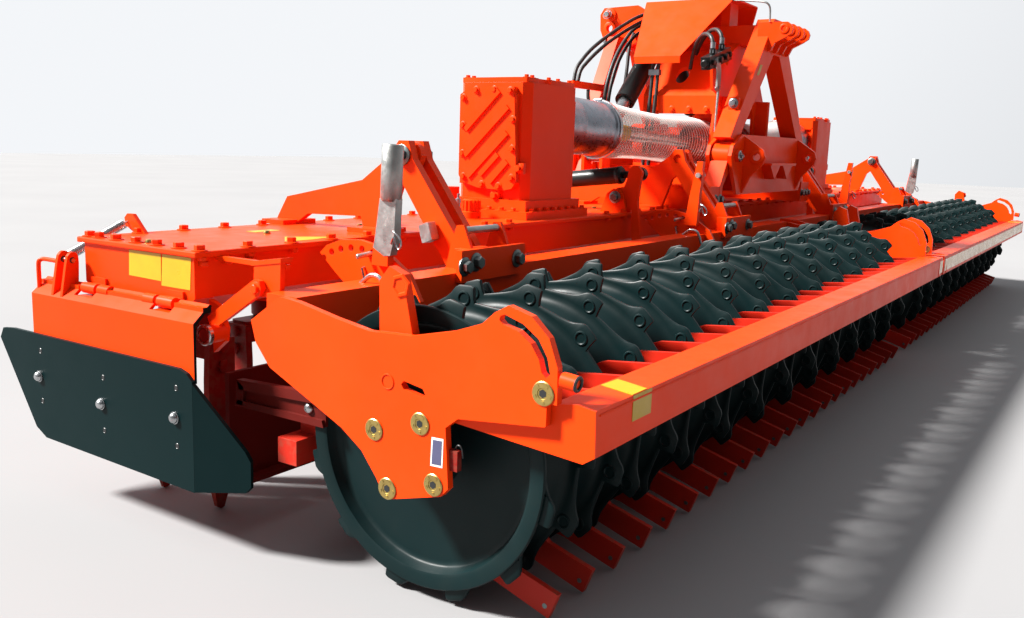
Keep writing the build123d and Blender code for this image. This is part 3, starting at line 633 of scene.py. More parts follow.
def roller(side, s):
    verts, faces = [], []
    cverts, cfaces = [], []
    body = "roller_" + side
    for i in range(23):
        xc = 187.5 + 125.0 * i
        a0 = 12.5 if i % 2 == 0 else 27.3
        angs = []
        for t in range(TEETH):
            for off, rc in CREST:
                angs.append((a0 + 30.0 * t + off, rc))
        last = i == 22
        base = len(verts)
        cols = []
        for ang, rc in angs:
            fl = 4.5
            if last:
                prof = [(-51, 128), (-51, 196), (-45, 206), (-32, 215), (-18, 222), (-9, 229), (-5, 238), (-fl, 246),
                        (-fl, rc - 3), (-2.5, rc), (2.5, rc), (fl, rc - 3), (fl, 262), (9.0, 262), (11.5, 260),
                        (11.5, 238), (9, 232), (-8, 226), (-12, 222), (-13, 214), (-13, 90), (-10, 78), (4, 74), (6, 60),
                        (6, 30)]
            else:
                prof = [(-51, 128), (-51, 196), (-45, 206), (-32, 215), (-18, 222), (-9, 229), (-5, 238), (-fl, 246),
                        (-fl, rc - 3), (-2.5, rc), (2.5, rc), (fl, rc - 3), (fl, 246), (5, 238), (9, 229), (18, 222),
                        (32, 215), (45, 206), (51, 196), (51, 128)]
            a = math.radians(ang)
            cols.append(len(verts))
            for dx, r in prof:
                verts.append(P(s * (xc + dx), -r * math.cos(a), ZR + r * math.sin(a)))
            k = len(prof)
        n = len(cols)
        for c in range(n):
            p, q = cols[c], cols[(c + 1) % n]
            for j in range(k - 1):
                faces.append((p + j, q + j, q + j + 1, p + j + 1))
        # weld marks: raised rings on both faces of the crest
        for t in range(TEETH):
            a = math.radians(a0 + 4.3 + 30.0 * t)
            y, z = -258.0 * math.cos(a), ZR + 258.0 * math.sin(a)
            for f in (-1, 1):
                if last and f == 1:
                    continue
                v, fc = lathe([(15.0, 0), (13.6, 1.8), (11.6, 2.2), (9.8, 1.2), (9.0, 0.2), (0, 0.2)], 14)
                mm = frame_at(P(s * (xc + f * 4.5), y, z), (s * f, 0, 0))
                k0 = len(cverts)
                cverts.extend(local(v, mm))
                cfaces.extend([tuple(q + k0 for q in x) for x in fc])
    put(body, "dark", verts, faces, "rings")
    put(body, "dark", cverts, cfaces, "weld_marks")
    # core tube, inner end disc and journals
    turned(body, "dark", P(0, 0, ZR), (s, 0, 0), [(0, 80), (30, 80), (30, 130), (122, 130), (127, 134), (127, 2880),
                                                  (120, 2890)], 48, "core")
    turned(body, "steel", P(0, 0, ZR), (s, 0, 0), [(29, 2938), (29, 2990), (26, 2992), (0, 2992)], 28, "journal")
    REPL.append((body, "dark", "rings", ["roller_" + side]))


for sd, s in SIDES:
    roller(sd, s)


# ---------------------------------------------------------------- rotors with their tines
def rotor_mesh():
    """holder plate with two curved tines, upright axis, millimetres about the rotor's centre"""
    vs, fs = [], []

    def add(v, f):
        k = len(vs)
        vs.extend(v)
        fs.extend([tuple(i + k for i in x) for x in f])

    add(*lathe([(0, 396), (44, 396), (50, 402), (50, 432), (46, 438), (0, 438)], 28))
    v, f = prism(rounded([(-105, -31), (105, -31), (105, 31), (-105, 31)], 14, 4), 50, 3)
    add([(a, b, c + 346) for a, b, c in v], f)
    for q in (-1, 1):
        # blade outline in (y, z): broad at the holder, sharpened and swept to a narrow tip
        out = [(-34, 390), (34, 390), (35, 300), (33, 220), (27, 130), (17, 50), (4, 2), (-6, 0), (-16, 6), (-26, 50),
               (-33, 140), (-36, 230), (-36, 300)]
        v, f = prism(out, 18, 3.0)
        blade = []
        for a, b, c in v:
            lean = 4.0 * math.sin(math.pi * min(1.0, (390 - b) / 390.0))
            x = q * (97 + c * (1 if b > 60 else 0.55 + 0.45 * b / 60) - lean)
            blade.append((x, q * a, b))
        add(blade, [fc if q > 0 else fc[::-1] for fc in f])
        for bz in (330, 372):
            mm = Matrix.Translation((q * 115 / 1.0, 0, bz)) @ Matrix.Rotation(math.pi / 2 * q, 4, "Y")
            v, f = hexprism(24, 6)
            add([tuple(mm @ Vector(p)) for p in v], f)
    return vs, fs


rv, rf = rotor_mesh()
for sd, s in SIDES:
    for i in range(12):
        body = "rotor_%s_%02d" % (sd, i + 1)
        rx = s * (125 + 250 * i)
        turn = Matrix.Rotation(math.radians(90 * (i % 2)), 4, "Z")
        put(body, "red", [P(rx, 728.5, 0) + (turn @ Vector(v)) / 1000.0 for v in rv], rf, "tines")
        REPL.append((body, "red", "tines", [body]))


# ---------------------------------------------------------------- side deflector: bolts, ears, loop
def rel(points):
    """outline in metres from the roller axis -> (y, z) in millimetres"""
    return [(1000 * y, 1000 * z + ZR) for y, z in points]


def deflector(side, s):
    body = "side_deflector_" + side
    for y, z in rel([(1.008, -.008), (.777, -.031), (.533, -.016)]):
        turned(body, "steel", P(s * 3064, y, z), (s, 0, 0), [(0, 0), (13, 0), (13, 2), (11.5, 2.4), (11.5, 4), (9.5, 8),
                                                            (5.5, 10.8), (0, 11.6)], 20, "bolts")
    # dark discs in the plate's small holes: painted shade inside the holes
    for y, z in rel([(.999, .052), (.768, .028), (.527, .046), (1.000, -.064), (.770, -.089), (.528, -.074)]):
        turned(body, "plastic", P(s * 3064, y, z), (s, 0, 0), [(0, 0.3), (4.6, 0.3), (5.2, 0.9), (6.2, 0.0)], 16, "holes")
    # spring ears on the strip, grab loop in front of them
    ear = [(3054, 464), (3040, 540), (3036, 556), (3028, 564), (3018, 564), (3011, 556), (3010, 540), (3012, 496)]
    for y in (922, 956):
        plate_xz(body, "orange", [(s * x, z) for x, z in rounded(ear, [0, 9, 9, 9, 9, 9, 9, 0], 3)], y, y + 8, 1.0)
        # dark ring round the pin: painted shade in the ear's hole
        turned(body, "plastic", P(s * 3025, y - 0.2, 546), (0, -1, 0), [(0, 0.3), (6, 0.3), (6.8, 0.0)], 16, "holes")
    turned(body, "steel", P(s * 3025, 918, 546), (0, 1, 0), [(0, 0), (5, 0), (5, 50), (0, 50)], 14, "bolts")
    tube(body, "orange", [(s * 3040, 1030, 476), (s * 3040, 1030, 528), (s * 3038, 1026, 538), (s * 3034, 1016, 541),
                          (s * 3034, 966, 541)], 5.0, 10, smooth_steps=4)
    for y0, y1 in ((634, 670), (790, 826)):
        for y, d in ((y0, -1), (y1, 1)):
            turned(body, "steel", P(s * 3022, y, 490), (0, d, 0), [(0, 0), (7.5, 0), (7.5, 1.6), (0, 1.6)], 16, "bolts")


for sd, s in SIDES:
    deflector(sd, s)


# ---------------------------------------------------------------- wing's end: labels, pivot tube, stay, spring bracket
def wing_end(side, s):
    w = "wing_" + side
    for quad in ([(.753, .298), (.647, .298), (.649, .241), (.756, .243)],
                 [(.643, .298), (.552, .298), (.557, .232), (.648, .232)]):
        plate_yz(w, "yellow", rel(quad), s * 3000.2, s * 3000.9, 0.0, "labels")
    # spring bracket on the front edge of the cover
    plate_yz(w, "orange", [(890, 597), (930, 597), (962, 612), (966, 630), (955, 640), (935, 640)], s * 2852, s * 2862, 1.0)
    # closing plates in the notches of the side hood
    for hy in (600, 860):
        block(w, "orange", s * 3001, s * 3040, hy - 30, hy + 30, 470, 474, 1.0)
    # pivot tube of the levelling board with its silver cap
    y, z = 514.0, ZR + 146
    turned(w, "orange", P(s * 2958, y, z), (s, 0, 0), [(0, 0), (19, 0), (19, 38), (0, 38)], 24)
    turned(w, "steel", P(s * 2996, y, z), (s, 0, 0), [(17, -1), (22, 0), (22, 8), (20, 10), (15.5, 10), (15, 7)], 28, "bolts")
    turned(w, "red", P(s * 2996, y, z), (s, 0, 0), [(15, 7), (14, 9), (11, 9.6), (0, 9.6)], 24)
    # diagonal stay from the tube to a folded bracket below the cover
    bar = rel([(.540, .176), (.526, .150), (.390, .236), (.378, .252), (.385, .266), (.400, .268)])
    plate_yz(w, "orange", bar, s * 2962, s * 2974, 1.5)
    br = rel([(.414, .300), (.340, .313), (.342, .252), (.360, .238), (.392, .232), (.408, .240), (.416, .256)])
    plate_yz(w, "orange", br, s * 2948, s * 2960, 1.5)
    plate_yz(w, "orange", rel([(.420, .292), (.338, .305), (.338, .314), (.420, .301)]), s * 2930, s * 2962, 1.0)
    plate_yz(w, "orange", rel([(.338, .300), (.544, .300), (.544, .292), (.420, .290), (.338, .292)]), s * 2936, s * 2948, 1.0)
    bolt(w, "orange", P(s * 2974, 393, ZR + 250), (s, 0, 0), 17, 7)
    plate_yz(w, "orange", rel([(.536, .10), (.548, .21), (.518, .20), (.498, .155), (.502, .128)]), s * 2950, s * 2962, 1.5)
    # nuts under the trough's overhang, inside corner braces
    for x in range(2860, 2990, 60):
        bolt(w, "orange", P(s * x, 540, 575), (0, 0, -1), 19, 9, washer=False)


for sd, s in SIDES:
    wing_end(sd, s)


# ---------------------------------------------------------------- levelling board: tray end, recess, bolt
def board_end(side, s):
    b = "levelling_board_" + side
    # end plate closes the tray; a raised border leaves its middle recessed
    out = rel([(.475, .052), (.252, .060), (.230, .040), (.231, -.004), (.478, -.004)])
    # the tray end takes the board red darkened as painted shade
    plate_yz(b, "board_red", out, s * 2940, s * 2950, 1.5)
    for strip in ([(.475, .052), (.252, .060), (.256, .040), (.468, .032)],
                  [(.231, -.004), (.478, -.004), (.474, .010), (.235, .010)],
                  [(.478, .000), (.475, .052), (.455, .040), (.458, .000)]):
        plate_yz(b, "board_red", rel(strip), s * 2950, s * 2957, 1.0)
    turned(b, "steel", P(s * 2950, 275, ZR + 26), (s, 0, 0), [(0, 0), (11, 0), (11, 2), (8, 6), (4, 8), (0, 8)], 16, "bolts")


# ---------------------------------------------------------------- roller frame: side plates, handles, clamps
def frame_details(side, s):
    f = "roller_frame_" + side
    for x0, d in ((3009, 1), (61, -1)):
        for y, z in rel([(.056, .040), (-.047, .070), (.024, -.062), (-.078, -.032), (-.289, .165)]):
            a = (s * d, 0, 0)
            turned(f, "yellow_zinc", P(s * x0, y, z), a, [(0, 0), (20, 0), (20, 1.6), (18.6, 2.8), (9.6, 2.8), (8.8, 1.4),
                                                        (0, 1.4)], 28, "bolts")
            v, fc = hexprism(12, 0.9, 0.0)
            # dark hex in the bolt head's recess: painted shade
            put(f, "plastic", local([(p, q, c + 1.0) for p, q, c in v], frame_at(P(s * x0, y, z), a)), fc, "holes")
            for k in range(5):
                t = 2 * math.pi * k / 5 + 0.4
                mm = frame_at(P(s * x0, y, z), a) @ Matrix.Rotation(t, 4, "Z")
                v, fc = prism([(12.2, -2.6), (16.4, -2.6), (16.4, 2.6), (12.2, 2.6)], 1.0, 0.4, 1)
                put(f, "yellow_zinc", local([(p, q, c + 2.6) for p, q, c in v], mm), fc, "bolts")
    ring(f, "orange", P(s * 3009.2, 26, ZR + 132), (s, 0, 0), 13, 1.6, 24, 8)
    # small label on the side plate, bare
    plate_yz(f, "white", rel([(-.073, .052), (-.098, .053), (-.097, .002), (-.071, .001)]), s * 3009.1, s * 3009.7, 0.0, "labels")
    plate_yz(f, "grey_label", rel([(-.076, .048), (-.095, .049), (-.094, .006), (-.074, .005)]), s * 3009.6, s * 3010.1, 0.0,
             "labels")
    # forged boss on the lug
    turned(f, "orange", P(s * 2994, 12, ZR + 300), (s, 0, 0), [(22, 0), (20, 3.2), (15.5, 3.4), (13, 1.0), (0, 1.0)], 6, start=0.3)
    # bearing's grease point behind the side plate, tube past the slot's bolt
    block(f, "red", s * 2990, s * 3002, -122, -100, ZR - 2, ZR + 34, 3.0)
    tube(f, "plastic", [(s * 2996, -112, ZR + 34), (s * 2998, -120, ZR + 44), (s * 2998, -128, ZR + 40), (s * 2994, -128, ZR + 22)],
         1.5, 8, smooth_steps=4)
    turned(f, "orange", P(s * 3000, -318, ZR + 190), (0, -1, -0.1), [(0, 0), (13, 0), (13, 26), (0, 26)], 24)
    # dark ring at the tube's open end: painted shade of its bore
    ring(f, "plastic", P(s * 3000, -345, ZR + 187), (0, -1, -0.1), 10.5, 3.0, 24, 8, "holes")
    # cap screws of the bearing housing, seen in front of the end disc
    for k in range(6):
        t = 2 * math.pi * (k + 0.5) / 6
        bolt(f, "zinc", P(s * 2962, 58 * math.cos(t), ZR + 58 * math.sin(t)), (-s, 0, 0), 13, 7, washer=False)
    # handle over the outer arc plate, lever with a pin over the inner one
    flat = [(.330, .318), (.326, .332), (.312, .424), (.268, .424), (.272, .340), (.282, .304), (.300, .302)]
    plate_yz(f, "galv", rel(flat), s * 2685, s * 2707, 2.5, "handle", 3)
    turned(f, "galv", P(s * 2696, 290, ZR + 418), (0, -0.03, 1), [(0, 0), (19, 0), (23, 6), (23, 116), (21.6, 118), (19.0, 118),
                                                                (18.4, 112), (0, 106)], 28, "handle")
    plate_yz(f, "orange", rel([(.335, .28), (.318, .40), (.302, .470), (.276, .470), (.284, .40), (.288, .28)]), s * 1014,
             s * 1038, 2.0)
    tube(f, "galv", [(s * 1000, 289, ZR + 458), (s * 1052, 289, ZR + 458)], 9.0, 16, "pins")
    for qx in (2680, 1010):
        # spring pin through the arc plate, clip behind it
        turned(f, "galv", P(s * (qx + 6), 357, ZR + 300), (s * 0.9, 0.42, -0.18), [(0, -6), (5.6, -6), (5.6, 30), (4.6, 31), (0, 31)],
               14, "pins")
        tube(f, "steel", [(s * (qx + 26), 276, ZR + 356), (s * (qx + 28), 266, ZR + 352), (s * (qx + 28), 254, ZR + 340),
                          (s * (qx + 28), 252, ZR + 326), (s * (qx + 28), 258, ZR + 320), (s * (qx + 28), 266, ZR + 328),
                          (s * (qx + 28), 272, ZR + 344), (s * (qx + 27), 280, ZR + 330)], 2.2, 8, "pins", smooth_steps=5)
        # bent safety wire and staple on the inner face
        tube(f, "steel", [(s * (qx + 80), 338, ZR + 229), (s * (qx + 80), 312, ZR + 250), (s * (qx + 80), 286, ZR + 268),
                          (s * (qx + 80), 264, ZR + 264), (s * (qx + 80), 254, ZR + 249), (s * (qx + 80), 244, ZR + 221)], 5.0, 10,
             "pins", smooth_steps=5)
        tube(f, "steel", [(s * (qx + 6), 372, ZR + 269), (s * (qx + 12), 374, ZR + 268), (s * (qx + 12), 366, ZR + 240),
                          (s * (qx + 6), 362, ZR + 238)], 3.0, 8, "pins")
    # clamp plates on the beam: hex bolts, foot lugs, pin
    for bx in (2384, 740):
        for dx, z in ((-113, 275), (61, 280), (218 - 113, 273)):
            bolt(f, "grey_bolt", P(s * (bx + dx), 246, ZR + z - 8), (0, -1, 0), 26, 15, group="bolts")
        tube(f, "galv", [(s * (bx - 100), 300, ZR + 340), (s * (bx + 36), 300, ZR + 340)], 9.0, 16, "pins")
        for dx in (-108, 44):
            plate_yz(f, "orange", [(262, ZR + 250), (342, ZR + 250), (330, ZR + 300), (312, ZR + 352), (292, ZR + 354), (270, ZR + 302)],
                     s * (bx + dx - 5), s * (bx + dx + 5), 1.5)
        # bolts at the top of the arms
        for dx in ((-42, 42) if bx > 1000 else ()):
            bolt(f, "grey_bolt", P(s * (bx + dx), 488, 795), (s * (1 if dx > 0 else -1), 0, 0), 30, 16)
        # the silver block that rests in the catch
        v, fc = prism(rounded([(-17, -22), (17, -22), (17, 22), (-17, 22)], 3, 2), 26, 2.5)
        mm = frame_at(P(s * (bx + 44), 388, ZR + 330), (s, 0.1, 0)) @ Matrix.Rotation(0.35, 4, "Z")
        put(f, "galv", local(v, mm), fc, "pins")


for sd, s in SIDES:
    board_end(sd, s)
    frame_details(sd, s)


# ---------------------------------------------------------------- wing gearbox: ribbed cover, flange, plugs
def gearbox(side, s):
    w = "wing_" + side
    cover_out = rel([(.838, .697), (.812, .712), (.770, .722), (.632, .721), (.615, .427), (.632, .406), (.660, .400), (.762, .404),
                     (.826, .421), (.838, .442)])
    plate_yz(w, "orange", rounded(cover_out, 6, 3), s * 1701, s * 1721, 2.5)
    for (y0, z0), (y1, z1) in [((.812, .586), (.686, .708)), ((.812, .505), (.651, .659)), ((.800, .437), (.652, .580)),
                               ((.752, .445), (.684, .512)), ((.714, .423), (.649, .491))]:
        L = math.hypot(y1 - y0, z1 - z0)
        ny, nz = -(z1 - z0) / L * .008, (y1 - y0) / L * .008
        plate_yz(w, "orange", rel([(y0 + ny, z0 + nz), (y1 + ny, z1 + nz), (y1 - ny, z1 - nz), (y0 - ny, z0 - nz)]), s * 1720,
                 s * 1728, 3.0, "", 3)
    for y, z in rel([(.824, .686), (.824, .60), (.824, .51), (.818, .437), (.745, .415), (.680, .412), (.632, .44), (.632, .53),
                     (.633, .62), (.645, .708), (.705, .711), (.775, .710)]):
        bolt(w, "orange", P(s * 1721, y, z), (s, 0, 0), 15, 8, spin=0.02 * y)
    # lid with a notch and a label, edges standing proud
    plate_xy(w, "orange", rounded([(s * 1400, 600), (s * 1560, 600), (s * 1570, 612), (s * 1620, 612), (s * 1630, 600), (s * 1694, 600),
                                   (s * 1694, 852), (s * 1400, 852)], 8, 3), 1020, 1036, 4.0)
    plate_xy(w, "yellow", [(s * 1640, 640), (s * 1688, 640), (s * 1688, 720), (s * 1640, 720)], 1036.1, 1036.8, 0.0, "labels")
    for x in (1418, 1490, 1548, 1648, 1680):
        for y in (614, 838):
            bolt(w, "orange", P(s * x, y, 1036), (0, 0, 1), 13, 7)
    # drain and level plugs on square bosses
    for y, z in rel([(.612, .470), (.700, .382)]):
        block(w, "orange", s * 1698, s * 1712, y - 17, y + 17, z - 17, z + 17, 3.0)
        bolt(w, "orange", P(s * 1712, y, z), (s, 0, 0), 19, 10)
    # stiffening ribs on the inner face
    for k in range(8):
        z = 690 + 40 * k
        plate_xy(w, "orange", [(s * 1378, 610), (s * 1392, 610), (s * 1392, 840), (s * 1378, 840)], z, z + 8, 2.5)
    for y in (612, 664, 790, 836):
        block(w, "orange", s * 1378, s * 1392, y - 4, y + 4, 690, 978, 2.5)
    # breather and ribbed filler cap on the cover plate
    turned(w, "zinc", P(s * 1868, 727, 597), (0, 0, 1), [(0, 0), (11, 0), (11, 8), (7, 10), (7, 46), (9, 48), (9, 62), (4, 66), (4, 78),
                                                       (0, 79)], 20, "bolts")
    turned(w, "orange", P(s * 1800, 727, 597), (0, 0, 1), [(0, 0), (31, 0), (31, 20), (27, 23), (27, 56), (23, 59), (0, 59)], 32)
    for k in range(14):
        t = 2 * math.pi * k / 14
        turned(w, "orange", P(s * 1800 + 27 * math.cos(t), 727 + 27 * math.sin(t), 622), (0, 0, 1), [(0, 0), (3.4, 0), (3.4, 30), (0, 32)], 8)
    # labels on the cover plate
    plate_xy(w, "yellow", [(s * 2736, 565), (s * 2653, 560), (s * 2571, 577), (s * 2660, 646)], 597.1, 597.8, 0.0, "labels")
    plate_xy(w, "yellow", [(s * 2640, 765), (s * 2560, 765), (s * 2560, 800), (s * 2640, 800)], 597.1, 597.8, 0.0, "labels")
    # hinge beam's bolts, levelling cylinder's pins
    for x in (548, 596, 644):
        bolt(w, "grey_bolt", P(s * x, 396, 640), (0, -1, 0), 22, 12)
    for d in (-1, 1):
        bolt(w, "grey_bolt", P(s * (1080 + 34 * d), 577, 652), (s * d, 0, 0), 26, 13)
        turned(w, "steel", P(s * (1046 + 14 * d), 862, 700), (s * d, 0, 0), [(0, 0), (16, 0), (16, 4), (9, 6), (0, 6)], 20, "bolts")
        turned("levelling_board_" + side, "steel", P(s * (1053 + 21 * d), 514, ZR + 453), (s * d, 0, 0), [(0, 0), (13, 0), (13, 4),
                                                                                                  (8, 6), (0, 6)], 20, "bolts")
    turned(w, "black", P(s * 1046, 606, 728.8), (0, -0.997, 0.118), [(0, 0), (31, 0), (33, 3), (33, 16), (28, 22), (14, 24), (0, 24)], 28)
    for x in range(330, 3000, 330):
        if not 1280 < x < 1780:
            turned(w, "yellow_zinc", P(s * x, 728, 597), (0, 0, 1), [(0, 0), (9, 0), (9, 2), (7, 7), (5, 8), (0, 8)], 12, "bolts")


def bells(side, s):
    A, B = Vector((s * 130, 640, 855)), Vector((s * 1249.5, 728.5, 905))
    L = (A - B).length
    axis = (A - B).normalized()
    turned("wing_" + side, "bell", P(*B), axis, [(90, 3), (99, 3), (101, 10), (101, 196), (106, 201), (107, 214), (104, 228), (98, 231),
                                                (96, 228), (96, 20)], 48, "bell")
    turned("wing_" + side, "bell", P(s * 1249, 728.5, 905), (s, 0, 0), [(96, 0), (101, 0), (101, 128), (96, 128), (96, 0)], 48, "bell")
    turned("wing_" + side, "steel", P(*B), axis, [(104, 214), (110, 215), (110, 227), (104, 228)], 48, "clamp")
    x = P(*B) + axis * 0.221
    turned("wing_" + side, "steel", x + Vector((0, 0, 0.108)), (0, -1, 0.1), [(0, -16), (6, -16), (6, 16), (0, 16)], 12, "clamp")
    turned("chassis", "bell", P(*B) + axis * (L - 84) / 1000.0, axis, [(94, 0), (102, 0), (103, 12), (98, 18), (95, 60), (90, 79), (86, 79),
                                                                   (90, 16), (94, 0)], 48, "bell")


for sd, s in SIDES:
    gearbox(sd, s)
    bells(sd, s)


# ---------------------------------------------------------------- tower: pins, clips, valve, hose clamp, wire bar
def washer_ring(body, x, y, z, d, r0, r1, h, mat="orange"):
    turned(body, mat, P(x, y, z), (d, 0, 0), [(r0, 0), (r1, 0), (r1, h - 1), (r1 - 1.5, h), (r0, h), (r0, 0)], 28)


C = "chassis"
for s in (-1, 1):
    washer_ring(C, s * 80, 1183, 1446, s, 16.5, 33, 8)
    washer_ring(C, s * 80, 1180, 1386, s, 16.8, 31, 8)
    turned(C, "steel", P(s * 95, 1183, 1446), (s, 0, 0), [(0, 0), (15, 0), (15, 3), (13, 5), (13, 24), (11, 26), (0, 26)], 20, "pins")
    ring(C, "steel", P(s * 108, 1183, 1446), (s, 0, 0.4), 21, 2.2, 24, 8, "pins")
    # fold pins with their heads and clips
    for y, d in ((360, -1), (1095, 1)):
        turned(C, "steel", P(s * 450, y, 812), (0, d, 0), [(0, 0), (23, 0), (23, 2), (20, 5), (0, 5)], 28, "pins")
        ring(C, "steel", P(s * 450, y + 7 * d, 812), (0.5, d, 0.3), 15, 2.2, 24, 8, "pins")
        turned(C, "zinc", P(s * 450, y + 5 * d, 812), (0, d, 0), [(0, 0), (7, 0), (7, 9), (5, 11), (0, 11)], 14, "pins")
    for x, d in ((352, -1), (372, 1)):
        washer_ring(C, s * x, 317, 810, s * d, 15, 30, 4)
    for x, d in ((32, -1), (48, 1), (112, -1), (128, 1)):
        washer_ring(C, s * x, 325, ZR + 1064, s * d, 13.2, 21, 4)
    # stiffener under the rear plate, small gussets between the ears
    plate_xz(C, "orange", [(s * 20, 775), (s * 150, 775), (s * 85, 715)], 330, 376, 2.0)
    bolt(C, "zinc", P(s * 150, 1155, 1318), (0, 1, 0), 22, 12)
block(C, "orange", -170, 170, 318, 376, 775, 785, 2.0)
# bolt lug on the left leg, label, rod from the lever to the frame
block(C, "orange", -396, -352, 402, 446, 1002, 1048, 5.0)
bolt(C, "zinc", P(-396, 424, 1025), (-1, 0, 0), 24, 14)
plate_xz(C, "yellow", [(-236, 1150), (-200, 1196), (-172, 1196), (-208, 1150)], 391.0, 391.8, 0.0, "labels")
plate_xz(C, "galv", rounded([(-452, 1196), (-416, 1212), (-392, 1160), (-386, 1082), (-410, 1066), (-424, 1088), (-424, 1146)], 8, 3),
         488, 496, 1.5, "lever", 2)
tube(C, "galv", [(-406, 490, 1084), (-404, 492, 1000), (-402, 494, 905)], 5.5, 14, "lever")
turned(C, "zinc", P(-406, 484, 1084), (0, 1, 0), [(0, 0), (11, 0), (11, 16), (0, 16)], 16, "lever")
block(C, "orange", -418, -386, 484, 504, 868, 908, 3.0)
# valve: spools, end caps, fittings
for t, r, h in ((0.10, 11, 12), (0.36, 13, 20), (0.62, 13, 20), (0.88, 11, 12)):
    x, z = -273 - 224 * t, 1238 - 62 * t
    turned(C, "black", P(x, 497, z), (0, -1, 0), [(0, 0), (r, 0), (r, h - 2), (r - 2, h), (0, h)], 20)
for (x0, z0), (x1, z1) in (((-273, 1238), (-262, 1241)), ((-497, 1176), (-508, 1173))):
    turned(C, "black", P(x0, 516, z0), (x1 - x0, 0, z1 - z0), [(0, 0), (17, 0), (17, 12), (13, 16), (0, 16)], 20)
for x, z in ((-345, 1250), (-440, 1222)):
    v, fc = hexprism(24, 15)
    put(C, "zinc", local(v, frame_at(P(x, 512, z), (0, 0, 1))), fc, "pins")
    turned(C, "zinc", P(x, 512, z + 20), (0, 0, 1), [(9, 0), (11, 0), (11, 24), (9, 24), (9, 0)], 20, "pins")
# clamp on the hanging pair, plate on its post
block(C, "zinc", -324, -300, 800, 850, 1148, 1172, 3.0, "clamp")
for y in (812, 838):
    ring(C, "steel", P(-308, y, 1160), (0, 0, 1), 9.5, 2.5, 24, 8, "pins")
    ring(C, "rubber", P(-334, y + 6, 850), (0, 0, 1), 9.2, 2.5, 24, 8, "collars")
# wire bar from the roof to the rear bracket
tube(C, "galv", [(-150, 559, 1474), (-150, 470, 1466), (-150, 416, 1459), (-147, 396, 1450), (-138, 389, 1430), (-130, 389, 1379)], 4.0,
     12, "lever", smooth_steps=5)
# housing: bolts along its foot, two on the roof posts
for s in (-1, 1):
    for y in (580, 660, 740, 820):
        bolt(C, "orange", P(s * 300, y, 1004), (s, 0, 0), 17, 8)
    for y in (620, 900):
        bolt(C, "orange", P(s * 30, y, 1485), (0, 0, 1), 17, 8)

# ---------------------------------------------------------------- scraper beam: weld line, label, reflector; knife bolts
def beam_details(side, s):
    f = "roller_frame_" + side
    top, rear = ZR + 148, -374
    tube(f, "orange", [(s * 30, rear - 0.5, top - 9), (s * 1500, rear - 0.5, top - 9), (s * 2980, rear - 0.5, top - 9)], 1.8, 8)
    plate_xy(f, "yellow", [(s * 2842, -302), (s * 2786, -305), (s * 2812, -373), (s * 2867, -373)], top + 0.1, top + 0.8, 0.0,
             "labels")
    plate_xz(f, "yellow", [(s * 2866, top - 1), (s * 2795, top - 1), (s * 2795, ZR + 103), (s * 2866, ZR + 103)], rear - 0.8,
             rear - 0.1, 0.0, "labels")
    for k in range(1, 24):
        for dx in (-6.2, 6.2):
            turned(f, "grey_bolt", P(s * (125 * k + dx), -232, ZR - 258), (1 if dx > 0 else -1, 0, 0), [(0, 0), (5, 0), (5, 1.6),
                                                                                               (3.5, 3), (0, 3)], 10, "knife_bolts")
        # scraper's upper arm, seen over the beam between two rings, in a red brightened as painted light; its foot
        # keeps the plain tool red
        plate_yz(f, "scraper_red", rel([(-.299, .147), (-.198, .137), (-.182, .131), (-.174, .112), (-.205, .088), (-.299, .088)]),
                 s * (125 * k - 6.4), s * (125 * k + 6.4), 1.5)
        # foot welded to each scraper
        plate_yz(f, "red", [(-150, ZR + 48), (-128, ZR + 66), (-120, ZR + 62), (-140, ZR + 40)], s * (125 * k - 10),
                 s * (125 * k + 10), 1.0)
        for z in (92, 124):
            bolt(f, "red", P(s * (125 * k + 6), -270, ZR + z), (s, 0, 0), 13, 6, washer=False)


for sd, s in SIDES:
    beam_details(sd, s)
# reflector strip on the right wing's beam
plate_xz("roller_frame_right", "beige", [(40, ZR + 84), (2960, ZR + 84), (2960, ZR + 134), (40, ZR + 134)], -375.2, -374.1, 0.0,
         "reflector")
plate_xz("roller_frame_left", "beige", [(-14, ZR + 84), (-76, ZR + 84), (-76, ZR + 134), (-14, ZR + 134)], -375.2, -374.1, 0.0,
         "reflector")


# ---------------------------------------------------------------- cover plates of the wings: bolts
def cover(side, s):
    w = "wing_" + side
    for x in range(110, 2990, 125):
        if 1330 < x < 1750:
            continue
        bolt(w, "orange", P(s * x, 545, 597), (0, 0, 1), 19, 10, spin=0.3 * (x % 7))
        bolt(w, "orange", P(s * x, 915, 597), (0, 0, 1), 19, 10, spin=0.3 * (x % 5))
        # nuts below the overhanging edge
        bolt(w, "orange", P(s * x, 537, 585), (0, 0, -1), 17, 8, washer=False)
    for y in (610, 680, 750, 820, 880):
        bolt(w, "orange", P(s * 2985, y, 597), (0, 0, 1), 19, 10, spin=0.01 * y)
    for x in range(1372, 1740, 46):
        for y in (570, 880):
            bolt(w, "orange", P(s * x, y, 622), (0, 0, 1), 15, 9, spin=0.1 * (x % 11))
    for y in range(616, 850, 46):
        for x in (1362, 1728):
            bolt(w, "orange", P(s * x, y, 622), (0, 0, 1), 15, 9, spin=0.1 * (y % 7))


for sd, s in SIDES:
    cover(sd, s)

# ---------------------------------------------------------------- stage and light
bpy.ops.mesh.primitive_plane_add(size=60, location=(0, 0, -0.0005))
floor = bpy.context.object
floor.name = "floor"
fm, nt, b = new_mat("floor_pale")
v = coords(nt)
nt.links.new(ramp(nt, noise(nt, v, 0.6, 3.0), [(0.3, (0.215, 0.215, 0.220)), (0.7, (0.230, 0.230, 0.234))]),
             b.inputs["Base Color"])
b.inputs["Roughness"].default_value = 0.9
b.inputs["Specular IOR Level"].default_value = 0.2
floor.data.materials.append(fm)

